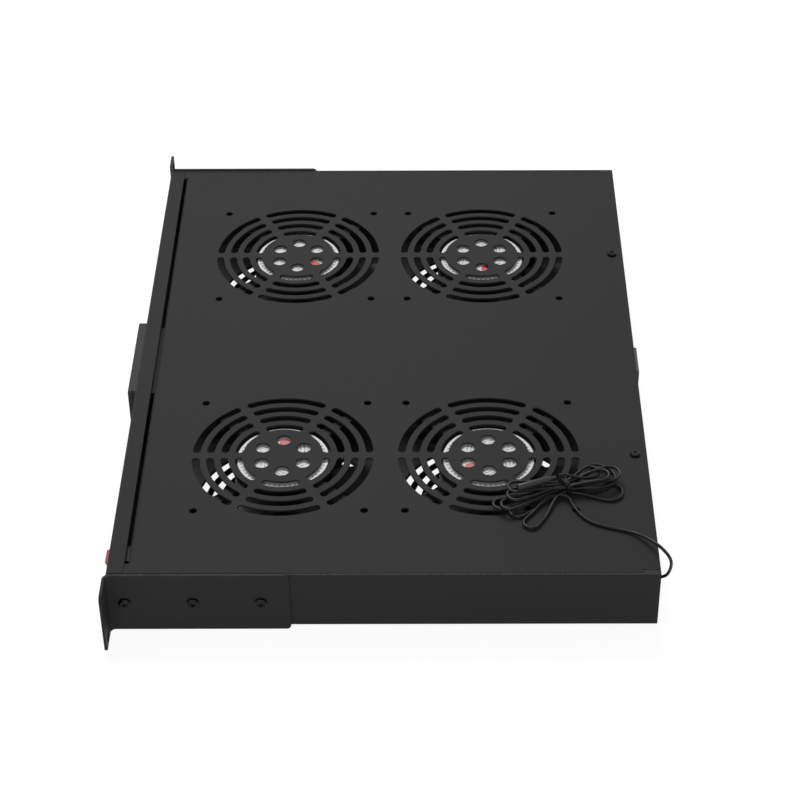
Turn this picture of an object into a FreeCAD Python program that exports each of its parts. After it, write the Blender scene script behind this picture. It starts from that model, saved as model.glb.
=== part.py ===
"""Rack fan tray, 19 inch, one rack unit: four mains fans in a sheet-steel box with pierced grilles.

Row frame, millimetres: X to the right seen from the front, Y to the rear, Z up. The origin is the
centre of the rack mounting plane, which is the plane of the ears' rear faces, at mid height.
Every function returns the solids of one sub-part in place, and main() writes each to its own file.
"""
import FreeCAD
import Part
import math
import os

V = FreeCAD.Vector
X_AXIS, Y_AXIS, Z_AXIS = V(1, 0, 0), V(0, 1, 0), V(0, 0, 1)

# Case
body_depth = 330.0
body_height = 42.0
sheet = 1.2
bend_inner_r = 0.8
front_return = 10.2        # depth of the front wall's return flange
rear_return = 14.0         # depth of the rear wall's return flange, under the cover
return_relief = 0.6        # gap between a return flange and the side wall
corner_patch_length = 10.0  # welded rear corner, flush with the cover
corner_patch_width = 4.0
fit_gap = 0.3              # between neighbouring sheet edges
seat = 0.5                 # overlap where two forms of one piece are joined
past = 1.0                 # overrun of a cut past the face that it leaves
tiny = 1e-6                # for comparing places

# Cover
cover_side_gap = 0.4
cover_front_slot = 2.2     # open slot between the front return and the cover's turned-down edge
cover_slot_end = 10.0      # the slot stops this far from the body's sides
cover_lip_height = 6.0
cover_bend_r = 2.0
cover_tongue_length = 6.0  # under the front return
cover_tongue_inset = 1.0   # from the corner strip's sides
cover_screw_x = 110.0
cover_screw_inset = 7.6    # from the rear face

# Grilles, one over and one under each fan
grille_ring_radii = (28.0, 37.0, 46.0, 55.0)
grille_slot_width = 5.0
grille_spokes = 6
grille_spoke_width = 5.0
grille_hole_circle_r = 15.0
grille_hole_r = 4.75
cover_access_hole_r = 2.5  # over each fan screw

# Fans
fan_pitch_x = 220.0
fan_pitch_y = 130.0
fan_size = 120.0
fan_depth = 38.0
fan_corner_r = 5.0
fan_bore_r = 58.0
fan_flange = 5.0
fan_hole_pitch = 105.0
fan_hole_r = 2.25
motor_base_r = 32.5
motor_base_thickness = 4.0
strut_width = 7.0
strut_depth = 4.0
strut_count = 4
strut_start_angle = 45.0
strut_root = 3.0           # of a strut into the motor base
terminal_slot_width = 16.0
terminal_block_height = 8.0
terminal_slot_depth = 1.0
terminal_lift = 6.0        # above the lower flange
terminal_block_depth = 3.0
terminal_reach = 8.0       # from the frame to the spades' ends
fan_spade_offset = 4.0
fan_spade_width = 2.8
fan_spade_thickness = 0.5
bearing_r = 8.0
bearing_height = 5.0
bearing_tube_wall = 1.5
shaft_r = 2.5
shaft_boss_wall = 3.0
shaft_boss_height = 1.0
shaft_end_gap = 0.5        # below the upper bearing's top
running_gap = 0.05         # radial, shaft in bearing
rotor_hub_r = 31.0
rotor_hub_wall = 1.8
rotor_hub_chamfer = 1.2
rotor_floor_gap = 2.0      # from the bottom sheet to the rotor
rotor_top_gap = 1.2        # from the rotor to the motor base
rotor_tip_gap = 1.0
blade_count = 5
blade_thickness = 2.0
blade_root_pitch = 50.0    # degrees from the plane of rotation
blade_tip_pitch = 33.0
blade_root_chord = 31.0
blade_tip_chord = 42.0
blade_camber = 0.09        # rise of the mean line over the chord
blade_sweep = 8.0          # degrees that the tip leads the root
blade_overrun = 4.0        # of the uncut blade past the tip circle
stator_r = 24.0
stator_height = 15.0
stator_yoke = 5.0
stator_poles = 8
stator_pole_width = 5.0
coil_inset = 3.0           # from the poles' faces
coil_drop = 2.5            # from the core's ends
label_r = 29.0
label_thickness = 0.4

# Rack ears
rack_width = 482.6
ear_flange = 21.3          # from the body's side to the ear's outer edge
rack_hole_inset = 8.75     # from the ear's outer edge
rack_hole_pitch_z = 31.75
rack_slot_length = 10.0
rack_slot_r = 3.4
ear_height = 44.0
ear_sheet = 1.6
ear_length = 109.0
ear_bend_inner_r = 3.0
ear_corner_r = 3.0
ear_screw_count = 3
ear_screw_first_y = 10.0
ear_screw_pitch = 40.8

# Metric screws: thread radius, clearance-hole radius, pan head, nut
m4_r, m4_hole_r, m4_head_r, m4_head_h = 2.0, 2.25, 3.7, 2.4
m4_nut_flats, m4_nut_h = 7.0, 3.2
m3_r, m3_hole_r, m3_head_r, m3_head_h = 1.5, 1.7, 3.3, 2.0
clinch_nut_r, clinch_spigot_r, clinch_nut_h = 3.0, 2.5, 4.0
wafer_head_r, wafer_head_h = 4.0, 0.9
thread_past_nut = 1.0
thread_gap = 0.02          # between a shank and its nut
head_taper = 0.4           # of a pan head's height
recess_r, recess_arm, recess_depth = 1.7, 0.85, 1.1   # cross recess
recess_share = 0.6         # of a thin head's height, at most

# Thermostat
thermostat_x = 2.0
thermostat_z = -0.7
bezel_overhang = 3.0       # past the body, on each side
bezel_thickness = 6.0
bezel_corner_r = 2.0
bezel_face_wall = 2.5
bezel_edge_r = 1.0
module_width = 71.0
module_height = 29.0
module_depth = 52.0
module_wall = 2.0
cutout_gap = 0.25
window_height = 17.0
window_side_gap = 1.0      # from the pane's flange to the body
window_button_gap = 2.5    # from the pane's flange to the nearest button's
window_recess = 0.4
window_flange = 1.0
button_width = 8.0
button_height = 5.4
button_gap = 0.2
button_proud = 0.8
button_stroke = 0.5
button_pitch_x = 13.0
button_pitch_z = 12.0
button_side_gap = 0.5      # from the outer buttons' flanges to the body
button_flange = 1.0
button_play = 0.05         # flange to bezel at rest, and stem to key switch when pressed
button_corner_r = 0.8
button_stem = 3.0
board_y = 6.0              # front face of the circuit board
board_ledge = 1.5
board_thickness = 1.6
key_switch_side = 4.6
key_switch_height = 4.3
relay_width, relay_height, relay_depth = 19.0, 15.0, 15.5
clip_width = 9.0
clip_length = 30.0
clip_thickness = 1.4
clip_foot = 3.4
terminal_strip_height = 16.0
terminal_strip_depth = 9.0
terminal_count = 6
terminal_pitch = 9.5
terminal_screw_r = 2.4
terminal_screw_depth = 3.0
terminal_screw_rise = 3.0  # above the middle
terminal_barrier = 3.0
terminal_row_drop = 4.5    # wire entries below the middle
terminal_entry_depth = 5.0
terminal_entry_height = 5.0

# Rocker switch, long way vertical
switch_inset = 31.0        # from the body's side
switch_z = 0.0
switch_bezel_width = 15.0
switch_bezel_height = 21.0
switch_bezel_thickness = 1.6
switch_body_width = 12.9
switch_body_height = 19.2
switch_body_depth = 13.5
switch_bezel_corner_r = 1.5
switch_floor = 3.0
snap_rise = 0.6
snap_width = 6.0
snap_length = 3.5
snap_root = 0.2            # of a wedge into the body
snap_play = 0.1            # from the panel to a wedge
rocker_r = 8.85            # end radius about the pivot
rocker_pivot_y = 0.5
rocker_center_y = -1.4
rocker_half_swing = 10.0   # degrees each side of the middle
rocker_width = 10.9
rocker_gap = 0.2
rocker_skirt = 4.0
rocker_pin_r = 0.9
rocker_pin_length = 0.6
spade_width = 4.8
spade_thickness = 0.8
spade_length = 9.0
spade_pitch = 7.0

# Mains inlet
inlet_x = 0.0
inlet_z = 0.0
inlet_flange_width = 28.0
inlet_flange_height = 24.0
inlet_flange_thickness = 3.0
inlet_flange_corner_r = 2.0
inlet_body_width = 26.4
inlet_body_height = 20.4
inlet_depth = 22.0
inlet_socket_width = 24.2
inlet_socket_height = 16.4
inlet_socket_depth = 17.0
inlet_socket_corner = 4.6
inlet_pin_width = 2.0
inlet_pin_height = 4.0
inlet_pin_pitch = 14.0
inlet_earth_drop = 4.0
inlet_pin_recess = 1.5

# Earth stud and wiring
earth_x = -30.0
earth_inset = 30.0         # from the rear face
earth_length = 12.0
wire_r = 1.1
trunk_r = 3.5
trunk_x = 2.0
trunk_lift = 0.3           # above the bottom sheet
wire_clearance = 4.0       # from the trunk to what it serves
wire_rise = 10.0           # run over which a wire climbs from the bottom to a terminal
mitred = 1                 # corner style of a swept wire

# Sensor lead, a round cord, with its grommet, hank, tie and probe
lead_r = 1.0
grommet_inset = 25.0       # from the body's side
grommet_drop = 27.0        # below the cover's top
grommet_r = 4.0            # in the sheet's hole
grommet_flange_r = 5.5
grommet_flange = 1.5
lead_route = (             # from the case's rear right upper corner: X, Y and Z
    (-25.0, -6.0, -27.0), (-25.0, 6.6, -27.0), (-20.8, 11.0, -15.5), (-16.4, 10.2, -3.0),
    (-17.6, 2.6, 5.4), (-25.4, -6.6, 4.0), (-34.4, -14.2, 1.1), (-40.6, -27.6, 1.1),
    (-45.4, -40.2, 1.1), (-56.6, -47.0, 1.8), (-68.2, -49.4, 3.6),
)
hank_bottom = 0.1          # above the cover
hank_height = 9.0
hank_waist_r = 5.0
hank_lobes = (             # direction from the tie in degrees, distance to the lobe's centre, radius
    (-67.0, 35.5, 12.5), (-34.0, 36.0, 6.0), (103.0, 24.0, 13.5),
)
hank_turn = 18.0           # degrees that the tie is turned from the X direction
tie_inset_x, tie_inset_y = 73.6, 54.2   # from the case's rear right corner
tie_wall = 1.2
tie_width = 2.4
probe_r = 2.2
probe_inset_x, probe_inset_y = 65.0, 83.5
probe_turn = 112.0
probe_lift = 0.02          # above the hank
probe_length = 20.6
probe_edge = 0.5
probe_stub_r = 1.7
probe_stub = 5.0

# Worked out from the values above
body_width = rack_width - 2 * ear_flange
rack_hole_pitch_x = rack_width - 2 * rack_hole_inset
top_z = body_height / 2
bottom_z = -body_height / 2
half_width = body_width / 2
inner_half_width = half_width - sheet
floor_z = bottom_z + sheet
cover_under_z = top_z - sheet
fan_top_z = floor_z + fan_depth
fan_row_center_y = body_depth / 2
fan_centers = [(sx * fan_pitch_x / 2, fan_row_center_y + sy * fan_pitch_y / 2)
               for sy in (-1, 1) for sx in (-1, 1)]
fan_hole_offsets = [(sx * fan_hole_pitch / 2, sy * fan_hole_pitch / 2)
                    for sx in (-1, 1) for sy in (-1, 1)]
switch_x = half_width - switch_inset
grommet_x = half_width - grommet_inset
grommet_z = top_z - grommet_drop
tie_x, tie_y = half_width - tie_inset_x, body_depth - tie_inset_y
probe_x, probe_y = half_width - probe_inset_x, body_depth - probe_inset_y
earth_y = body_depth - earth_inset
cover_lip_y = front_return + cover_front_slot
cover_screw_y = body_depth - cover_screw_inset
rotor_bottom_z = floor_z + rotor_floor_gap
motor_base_z = fan_top_z - motor_base_thickness
rotor_top_z = motor_base_z - rotor_top_gap
rotor_tip_r = fan_bore_r - rotor_tip_gap
bearing_tube_length = rotor_top_z - rotor_bottom_z - rotor_hub_wall - rotor_floor_gap
bearing_zs = (motor_base_z - bearing_tube_length,
              motor_base_z + motor_base_thickness / 2 - bearing_height)
bezel_width = module_width + 2 * bezel_overhang
bezel_height = module_height + 2 * bezel_overhang
module_inside_width = module_width - 2 * module_wall
module_inside_height = module_height - 2 * module_wall
opening_half = module_inside_width / 2 - board_ledge
button_half = button_width / 2 + button_flange
button_block_x = opening_half - button_side_gap - button_half - button_pitch_x / 2
window_left = window_side_gap + window_flange - opening_half
window_right = (button_block_x - button_pitch_x / 2 - button_half - window_button_gap
                - window_flange)
window_width = window_right - window_left
window_x = (window_left + window_right) / 2
bezel_back_y = bezel_face_wall - bezel_thickness
button_centers = [(thermostat_x + button_block_x + sx * button_pitch_x / 2,
                   thermostat_z + sz * button_pitch_z / 2) for sz in (1, -1) for sx in (-1, 1)]
button_names = ("set", "up", "power", "down")
ear_screw_ys = [ear_screw_first_y + i * ear_screw_pitch for i in range(ear_screw_count)]


def box(x0, x1, y0, y1, z0, z1):
    """A block between two corners."""
    return Part.makeBox(x1 - x0, y1 - y0, z1 - z0, V(x0, y0, z0))


def rod(r, start, end):
    """A round bar between two points."""
    start, end = V(*start), V(*end)
    along = end - start
    return Part.makeCylinder(r, along.Length, start, along)


def centered(width, height, x, z, y0, y1):
    """A block centred on (x, z), running from y0 to y1."""
    return box(x - width / 2, x + width / 2, y0, y1, z - height / 2, z + height / 2)


def fuse(*solids):
    joined = solids[0].multiFuse(list(solids[1:])) if len(solids) > 1 else solids[0]
    return joined.removeSplitter()


def drilled(solid, cutters):
    """The solid less a list of cutters."""
    return solid.cut(Part.makeCompound(cutters))


def edges_where(solid, test):
    """Edges whose middle passes the test."""
    return [e for e in solid.Edges if test(e.valueAt((e.FirstParameter + e.LastParameter) / 2), e)]


def along(edge, axis):
    """True for a straight edge that runs along an axis."""
    if edge.Curve.TypeId != "Part::GeomLine":
        return False
    return abs(abs(edge.Curve.Direction.dot(axis)) - 1) < tiny


def rounded(solid, radius, axis):
    """Fillets every straight edge along an axis."""
    return solid.makeFillet(radius, edges_where(solid, lambda p, e: along(e, axis)))


def rounded_block(width, height, x, z, y0, y1, radius):
    """A block centred on (x, z) from y0 to y1 with its four long corners rounded."""
    return rounded(centered(width, height, x, z, y0, y1), radius, Y_AXIS)


def prism(points, direction):
    """A straight prism on a closed polygon of points."""
    corners = [V(*p) for p in points]
    return Part.Face(Part.makePolygon(corners + corners[:1])).extrude(V(*direction))


def polar(center, r, angle, z):
    a = math.radians(angle)
    return V(center[0] + r * math.cos(a), center[1] + r * math.sin(a), z)


def hexagon(flats, start, direction, height):
    """A hexagonal bar of a given width across flats."""
    axis = V(*direction)
    side = Y_AXIS if abs(axis.z) > 0.5 else Z_AXIS
    other = axis.cross(side)
    r = flats / math.sqrt(3)
    corners = [V(*start) + side * (r * math.cos(math.radians(60 * i)))
               + other * (r * math.sin(math.radians(60 * i))) for i in range(6)]
    return Part.Face(Part.makePolygon(corners + corners[:1])).extrude(axis * height)


def nut(start, direction, flats, height, bore):
    """A plain hexagonal nut with its bore, seated at start."""
    start, axis = V(*start), V(*direction)
    return hexagon(flats, start, axis, height).cut(Part.makeCylinder(bore, height, start, axis))


def screw(seat, direction, shank_r, length, head_r, head_h, tapered):
    """A cross-recessed screw: its head stands back from the seat and its shank points along direction."""
    seat, axis = V(*seat), V(*direction)
    top = seat - axis * head_h
    head = Part.makeCylinder(head_r, head_h, top, axis)
    if tapered:
        rim = [e for e in head.Edges if e.Curve.TypeId == "Part::GeomCircle"
               and (e.Curve.Center - top).Length < tiny]
        head = head.makeChamfer(head_h * head_taper, rim)
    body = head.fuse(Part.makeCylinder(shank_r, length, seat, axis)).removeSplitter()
    depth = min(recess_depth, head_h * recess_share)
    side = Y_AXIS if abs(axis.z) > 0.5 else Z_AXIS
    other = axis.cross(side)
    for a, b in ((side, other), (other, side)):
        corner = top - a * recess_r - b * (recess_arm / 2)
        end = corner + a * 2 * recess_r
        body = body.cut(prism([corner, end, end + b * recess_arm, corner + b * recess_arm],
                              axis * depth))
    return body


def arc_slot(center, r, start, end, width, z0, z1):
    """A curved slot with round ends, from one angle to another, measured to the ends' centres."""
    inner, outer, middle = r - width / 2, r + width / 2, (start + end) / 2
    reach = math.degrees(width / 2 / r)
    p = [polar(center, outer, start, z0), polar(center, outer, end, z0),
         polar(center, inner, end, z0), polar(center, inner, start, z0)]
    edges = [Part.Arc(p[0], polar(center, outer, middle, z0), p[1]).toShape(),
             Part.Arc(p[1], polar(center, r, end + reach, z0), p[2]).toShape(),
             Part.Arc(p[2], polar(center, inner, middle, z0), p[3]).toShape(),
             Part.Arc(p[3], polar(center, r, start - reach, z0), p[0]).toShape()]
    return Part.Face(Part.Wire(edges)).extrude(V(0, 0, z1 - z0))


def flat_slot(center, r, start, end, width, z0, z1):
    """A curved slot with straight ends, from one angle to another."""
    inner, outer, middle = r - width / 2, r + width / 2, (start + end) / 2
    p = [polar(center, outer, start, z0), polar(center, outer, end, z0),
         polar(center, inner, end, z0), polar(center, inner, start, z0)]
    edges = [Part.Arc(p[0], polar(center, outer, middle, z0), p[1]).toShape(),
             Part.LineSegment(p[1], p[2]).toShape(),
             Part.Arc(p[2], polar(center, inner, middle, z0), p[3]).toShape(),
             Part.LineSegment(p[3], p[0]).toShape()]
    return Part.Face(Part.Wire(edges)).extrude(V(0, 0, z1 - z0))


def grille(center, z0, z1, round_ends):
    """Cutters for one pierced grille: rings of slots between spokes, and a ring of round holes."""
    cutters = []
    step = 360.0 / grille_spokes
    for r in grille_ring_radii:
        half_spoke = grille_spoke_width / 2 + (grille_slot_width / 2 if round_ends else 0.0)
        margin = math.degrees(math.asin(half_spoke / r))
        make = arc_slot if round_ends else flat_slot
        for i in range(grille_spokes):
            start = 90.0 + i * step + margin
            end = 90.0 + (i + 1) * step - margin
            cutters.append(make(center, r, start, end, grille_slot_width, z0, z1))
    for i in range(grille_spokes):
        spot = polar(center, grille_hole_circle_r, 90.0 + (i + 0.5) * step, z0)
        cutters.append(Part.makeCylinder(grille_hole_r, z1 - z0, spot))
    return cutters


def base_tray():
    """The folded box: bottom with intake grilles, four walls, and the front and rear returns."""
    outer = box(-half_width, half_width, 0, body_depth, bottom_z, top_z)
    outer = outer.makeFillet(sheet + bend_inner_r, edges_where(
        outer, lambda p, e: abs(p.z - bottom_z) < tiny))
    outer = outer.makeFillet(sheet, edges_where(
        outer, lambda p, e: abs(p.z - top_z) < tiny and abs(p.y) < tiny and along(e, X_AXIS)))
    inner = box(-inner_half_width, inner_half_width, sheet, body_depth - sheet, floor_z, top_z + past)
    inner = inner.makeFillet(bend_inner_r, edges_where(
        inner, lambda p, e: abs(p.z - floor_z) < tiny))
    shell = outer.cut(inner)
    # the rear wall stops under the cover
    shell = shell.cut(box(-inner_half_width, inner_half_width, body_depth - sheet - past, body_depth + past,
                          cover_under_z, top_z + past))
    flange_x = inner_half_width - return_relief
    front = box(-flange_x, flange_x, sheet / 2, front_return, cover_under_z, top_z)
    rear_z = cover_under_z - sheet
    rear = box(-flange_x, flange_x, body_depth - rear_return, body_depth - sheet / 2,
               rear_z, cover_under_z)
    patches = []
    for sx in (-1, 1):
        x0, x1 = sorted((sx * (half_width - corner_patch_width), sx * (half_width - sheet / 2)))
        patches.append(box(x0, x1, body_depth - corner_patch_length, body_depth, rear_z, top_z))
    shell = fuse(shell, front, rear, *patches)
    cutters = []
    for center in fan_centers:
        cutters += grille(center, bottom_z - past, floor_z + past, False)
        cutters += [rod(m4_hole_r, (center[0] + dx, center[1] + dy, bottom_z - past),
                        (center[0] + dx, center[1] + dy, floor_z + past)) for dx, dy in fan_hole_offsets]
    for y in ear_screw_ys:
        cutters += [rod(m4_hole_r, (sx * (inner_half_width - past), y, 0), (sx * (half_width + past), y, 0))
                    for sx in (-1, 1)]
    cutters += [rod(clinch_spigot_r, (sx * cover_screw_x, cover_screw_y, rear_z - past),
                    (sx * cover_screw_x, cover_screw_y, cover_under_z + past)) for sx in (-1, 1)]
    cutters.append(centered(module_width + 2 * cutout_gap, module_height + 2 * cutout_gap,
                            thermostat_x, thermostat_z, -past, sheet + past))
    cutters.append(centered(switch_body_width + 2 * cutout_gap, switch_body_height + 2 * cutout_gap,
                            switch_x, switch_z, -past, sheet + past))
    cutters.append(centered(inlet_body_width + 2 * cutout_gap, inlet_body_height + 2 * cutout_gap,
                            inlet_x, inlet_z, body_depth - sheet - past, body_depth + past))
    cutters.append(rod(grommet_r, (grommet_x, body_depth - sheet - past, grommet_z),
                       (grommet_x, body_depth + past, grommet_z)))
    cutters.append(rod(m4_hole_r, (earth_x, earth_y, bottom_z - past), (earth_x, earth_y, floor_z + past)))
    return drilled(shell, cutters)


def top_cover():
    """The cover: a plate with a turned-down front edge, front tongues and four outlet grilles."""
    half = inner_half_width - cover_side_gap
    slot_half = half_width - cover_slot_end
    plate = box(-half, half, cover_lip_y, body_depth, cover_under_z, top_z)
    lip = box(-slot_half, slot_half, cover_lip_y, cover_lip_y + sheet, top_z - cover_lip_height, top_z)
    solid = fuse(plate, lip)
    solid = solid.makeFillet(cover_bend_r, edges_where(
        solid, lambda p, e: abs(p.z - top_z) < tiny and abs(p.y - cover_lip_y) < tiny
        and along(e, X_AXIS)))
    extras = []
    for sx in (-1, 1):
        x0, x1 = sorted((sx * slot_half, sx * half))
        extras.append(box(x0, x1, front_return + fit_gap, cover_lip_y + cover_bend_r,
                          cover_under_z, top_z))
        extras.append(box(x0 + cover_tongue_inset, x1 - cover_tongue_inset,
                          front_return - cover_tongue_length, cover_lip_y + cover_bend_r,
                          cover_under_z - sheet, cover_under_z))
    solid = fuse(solid, *extras)
    cutters = []
    for center in fan_centers:
        cutters += grille(center, cover_under_z - past, top_z + past, True)
        cutters += [rod(cover_access_hole_r, (center[0] + dx, center[1] + dy, cover_under_z - past),
                        (center[0] + dx, center[1] + dy, top_z + past)) for dx, dy in fan_hole_offsets]
    for sx in (-1, 1):
        cutters.append(rod(m3_hole_r, (sx * cover_screw_x, cover_screw_y, cover_under_z - past),
                           (sx * cover_screw_x, cover_screw_y, top_z + past)))
        x0, x1 = sorted((sx * (half_width - corner_patch_width - fit_gap), sx * half_width))
        cutters.append(box(x0, x1, body_depth - corner_patch_length - fit_gap, body_depth + past,
                           cover_under_z - past, top_z + past))
    return drilled(solid, cutters)


def cover_screws():
    """Two pan-head screws into the rear return's clinch nuts."""
    return [screw((sx * cover_screw_x, cover_screw_y, top_z), (0, 0, -1), m3_r,
                  2 * sheet + clinch_nut_h, m3_head_r, m3_head_h, True) for sx in (-1, 1)]


def cover_nuts():
    """Clinch nuts under the rear return, each with its spigot in the return's hole."""
    under = cover_under_z - sheet
    nuts = []
    for sx in (-1, 1):
        spot = (sx * cover_screw_x, cover_screw_y)
        body = rod(clinch_nut_r, (*spot, under - clinch_nut_h), (*spot, under))
        spigot = rod(clinch_spigot_r, (*spot, under), (*spot, cover_under_z))
        bore = rod(m3_r + thread_gap, (*spot, under - clinch_nut_h), (*spot, cover_under_z))
        nuts.append(body.fuse(spigot).removeSplitter().cut(bore))
    return nuts


def rack_ear(side):
    """One folded ear: side plate outside the body's wall and a flange with two obround slots."""
    inside = half_width
    plate = box(inside, inside + ear_sheet, -ear_sheet, ear_length, -ear_height / 2, ear_height / 2)
    plate = plate.makeFillet(ear_corner_r, edges_where(
        plate, lambda p, e: abs(p.y - ear_length) < tiny and along(e, X_AXIS)))
    flange = box(inside, rack_width / 2, -ear_sheet, 0, -ear_height / 2, ear_height / 2)
    flange = flange.makeFillet(ear_corner_r, edges_where(
        flange, lambda p, e: abs(p.x - rack_width / 2) < tiny and along(e, Y_AXIS)))
    r = ear_bend_inner_r
    web = box(inside + ear_sheet, inside + ear_sheet + r, 0, r, -ear_height / 2, ear_height / 2)
    web = web.cut(Part.makeCylinder(r, ear_height, V(inside + ear_sheet + r, r, -ear_height / 2)))
    solid = fuse(plate, flange, web)
    solid = solid.makeFillet(r + ear_sheet, edges_where(
        solid, lambda p, e: abs(p.x - inside) < tiny and abs(p.y + ear_sheet) < tiny
        and along(e, Z_AXIS)))
    cutters = [rod(m4_hole_r, (inside - past, y, 0), (inside + ear_sheet + past, y, 0)) for y in ear_screw_ys]
    reach = rack_slot_length / 2 - rack_slot_r
    for sz in (-1, 1):
        x, z = rack_hole_pitch_x / 2, sz * rack_hole_pitch_z / 2
        ends = [rod(rack_slot_r, (x + dx, -ear_sheet - past, z), (x + dx, past, z)) for dx in (-reach, reach)]
        middle = centered(2 * reach, 2 * rack_slot_r, x, z, -ear_sheet - past, past)
        cutters.append(fuse(middle, *ends))
    solid = drilled(solid, cutters)
    return solid if side > 0 else solid.mirror(V(0, 0, 0), X_AXIS)


def ear_screws():
    """Six pan-head screws through the ears and the side walls."""
    length = ear_sheet + sheet + m4_nut_h + thread_past_nut
    return [screw((sx * (half_width + ear_sheet), y, 0), (-sx, 0, 0), m4_r, length,
                  m4_head_r, m4_head_h, True) for sx in (-1, 1) for y in ear_screw_ys]


def ear_nuts():
    """A nut on each ear screw, against the inside of the side wall."""
    return [nut((sx * inner_half_width, y, 0), (-sx, 0, 0), m4_nut_flats, m4_nut_h, m4_r + thread_gap)
            for sx in (-1, 1) for y in ear_screw_ys]


def fan_screws():
    """Sixteen wafer-head screws from below through the bottom sheet and the fans' lower flanges."""
    length = sheet + fan_flange + m4_nut_h + thread_past_nut
    return [screw((cx + dx, cy + dy, bottom_z), (0, 0, 1), m4_r, length,
                  wafer_head_r, wafer_head_h, False)
            for cx, cy in fan_centers for dx, dy in fan_hole_offsets]


def fan_nuts():
    """A nut on each fan screw, on the lower flange."""
    return [nut((cx + dx, cy + dy, floor_z + fan_flange), (0, 0, 1), m4_nut_flats, m4_nut_h,
                m4_r + thread_gap) for cx, cy in fan_centers for dx, dy in fan_hole_offsets]


def fan_frame(center):
    """Die-cast frame: two square flanges, a round duct, struts, motor base and bearing tube."""
    cx, cy = center
    half = fan_size / 2
    flanges = [rounded(box(cx - half, cx + half, cy - half, cy + half, z, z + fan_flange),
                       fan_corner_r, Z_AXIS) for z in (floor_z, fan_top_z - fan_flange)]
    wall = Part.makeCylinder(half, fan_depth - fan_flange, V(cx, cy, floor_z + fan_flange / 2))
    solid = fuse(*flanges, wall)
    solid = solid.cut(Part.makeCylinder(fan_bore_r, fan_depth + 2 * past, V(cx, cy, floor_z - past)))
    arms = []
    for i in range(strut_count):
        arm = Part.makeBox(fan_bore_r + seat - motor_base_r + strut_root, strut_width, strut_depth,
                           V(motor_base_r - strut_root, -strut_width / 2, fan_top_z - strut_depth))
        arm.rotate(V(0, 0, 0), Z_AXIS, strut_start_angle + 360.0 * i / strut_count)
        arm.translate(V(cx, cy, 0))
        arms.append(arm)
    base = Part.makeCylinder(motor_base_r, motor_base_thickness, V(cx, cy, motor_base_z))
    low = bearing_zs[0]
    outside = rod(bearing_r + bearing_tube_wall, (cx, cy, low), (cx, cy, motor_base_z + seat))
    solid = fuse(solid, base, outside, *arms)
    bores = [rod(bearing_r, (cx, cy, low), (cx, cy, bearing_zs[1] + bearing_height))]
    for z in (floor_z - past, fan_top_z - fan_flange - past):
        bores += [rod(fan_hole_r, (cx + dx, cy + dy, z), (cx + dx, cy + dy, z + fan_flange + 2 * past))
                  for dx, dy in fan_hole_offsets]
    side = -1 if cx > 0 else 1
    x0, x1 = sorted((cx + side * (half - terminal_slot_depth), cx + side * (half + past)))
    slot_z = floor_z + fan_flange + terminal_lift
    slot = box(x0, x1, cy - terminal_slot_width / 2, cy + terminal_slot_width / 2,
               slot_z, slot_z + terminal_block_height)
    return drilled(solid, bores + [slot])


def fan_bearings():
    """Two bearings for each fan."""
    rings = []
    for cx, cy in fan_centers:
        for z in bearing_zs:
            ends = (cx, cy, z), (cx, cy, z + bearing_height)
            rings.append(rod(bearing_r, *ends).cut(rod(shaft_r + running_gap, *ends)))
    return rings


def fan_stator(center):
    """Laminated core with its poles, on the bearing tube, and the coils between its ends."""
    cx, cy = center
    inner = bearing_r + bearing_tube_wall
    z = (bearing_zs[0] + motor_base_z - stator_height) / 2
    yoke_r = inner + stator_yoke
    core = Part.makeCylinder(yoke_r, stator_height, V(cx, cy, z))
    poles = []
    for i in range(stator_poles):
        pole = Part.makeBox(stator_r - yoke_r + seat, stator_pole_width, stator_height,
                            V(yoke_r - seat, -stator_pole_width / 2, z))
        pole.rotate(V(0, 0, 0), Z_AXIS, 360.0 * i / stator_poles)
        pole.translate(V(cx, cy, 0))
        poles.append(pole)
    coil = Part.makeCylinder(stator_r - coil_inset, stator_height - 2 * coil_drop,
                             V(cx, cy, z + coil_drop))
    solid = fuse(core, coil, *poles)
    return solid.cut(rod(inner, (cx, cy, z - past), (cx, cy, z + stator_height + past)))


def blade_section(r, chord, pitch, lead, mid_z):
    """A cambered blade section on the plane at distance r, as a closed wire of two arcs and two lines."""
    half, rise, t = chord / 2, blade_camber * chord, blade_thickness / 2
    c, s = math.cos(math.radians(pitch)), math.sin(math.radians(pitch))
    turn = math.radians(lead)
    radial = V(math.cos(turn), math.sin(turn), 0)
    tangent = V(-math.sin(turn), math.cos(turn), 0)

    def at(u, w):
        """u along the chord and w across it, in the section's plane."""
        return radial * r + tangent * (u * c - w * s) + V(0, 0, mid_z + u * s + w * c)

    upper = Part.Arc(at(-half, t), at(0, rise + t), at(half, t)).toShape()
    lower = Part.Arc(at(half, -t), at(0, rise - t), at(-half, -t)).toShape()
    nose = Part.LineSegment(at(half, t), at(half, -t)).toShape()
    tail = Part.LineSegment(at(-half, -t), at(-half, t)).toShape()
    return Part.Wire([upper, nose, lower, tail])


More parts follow.
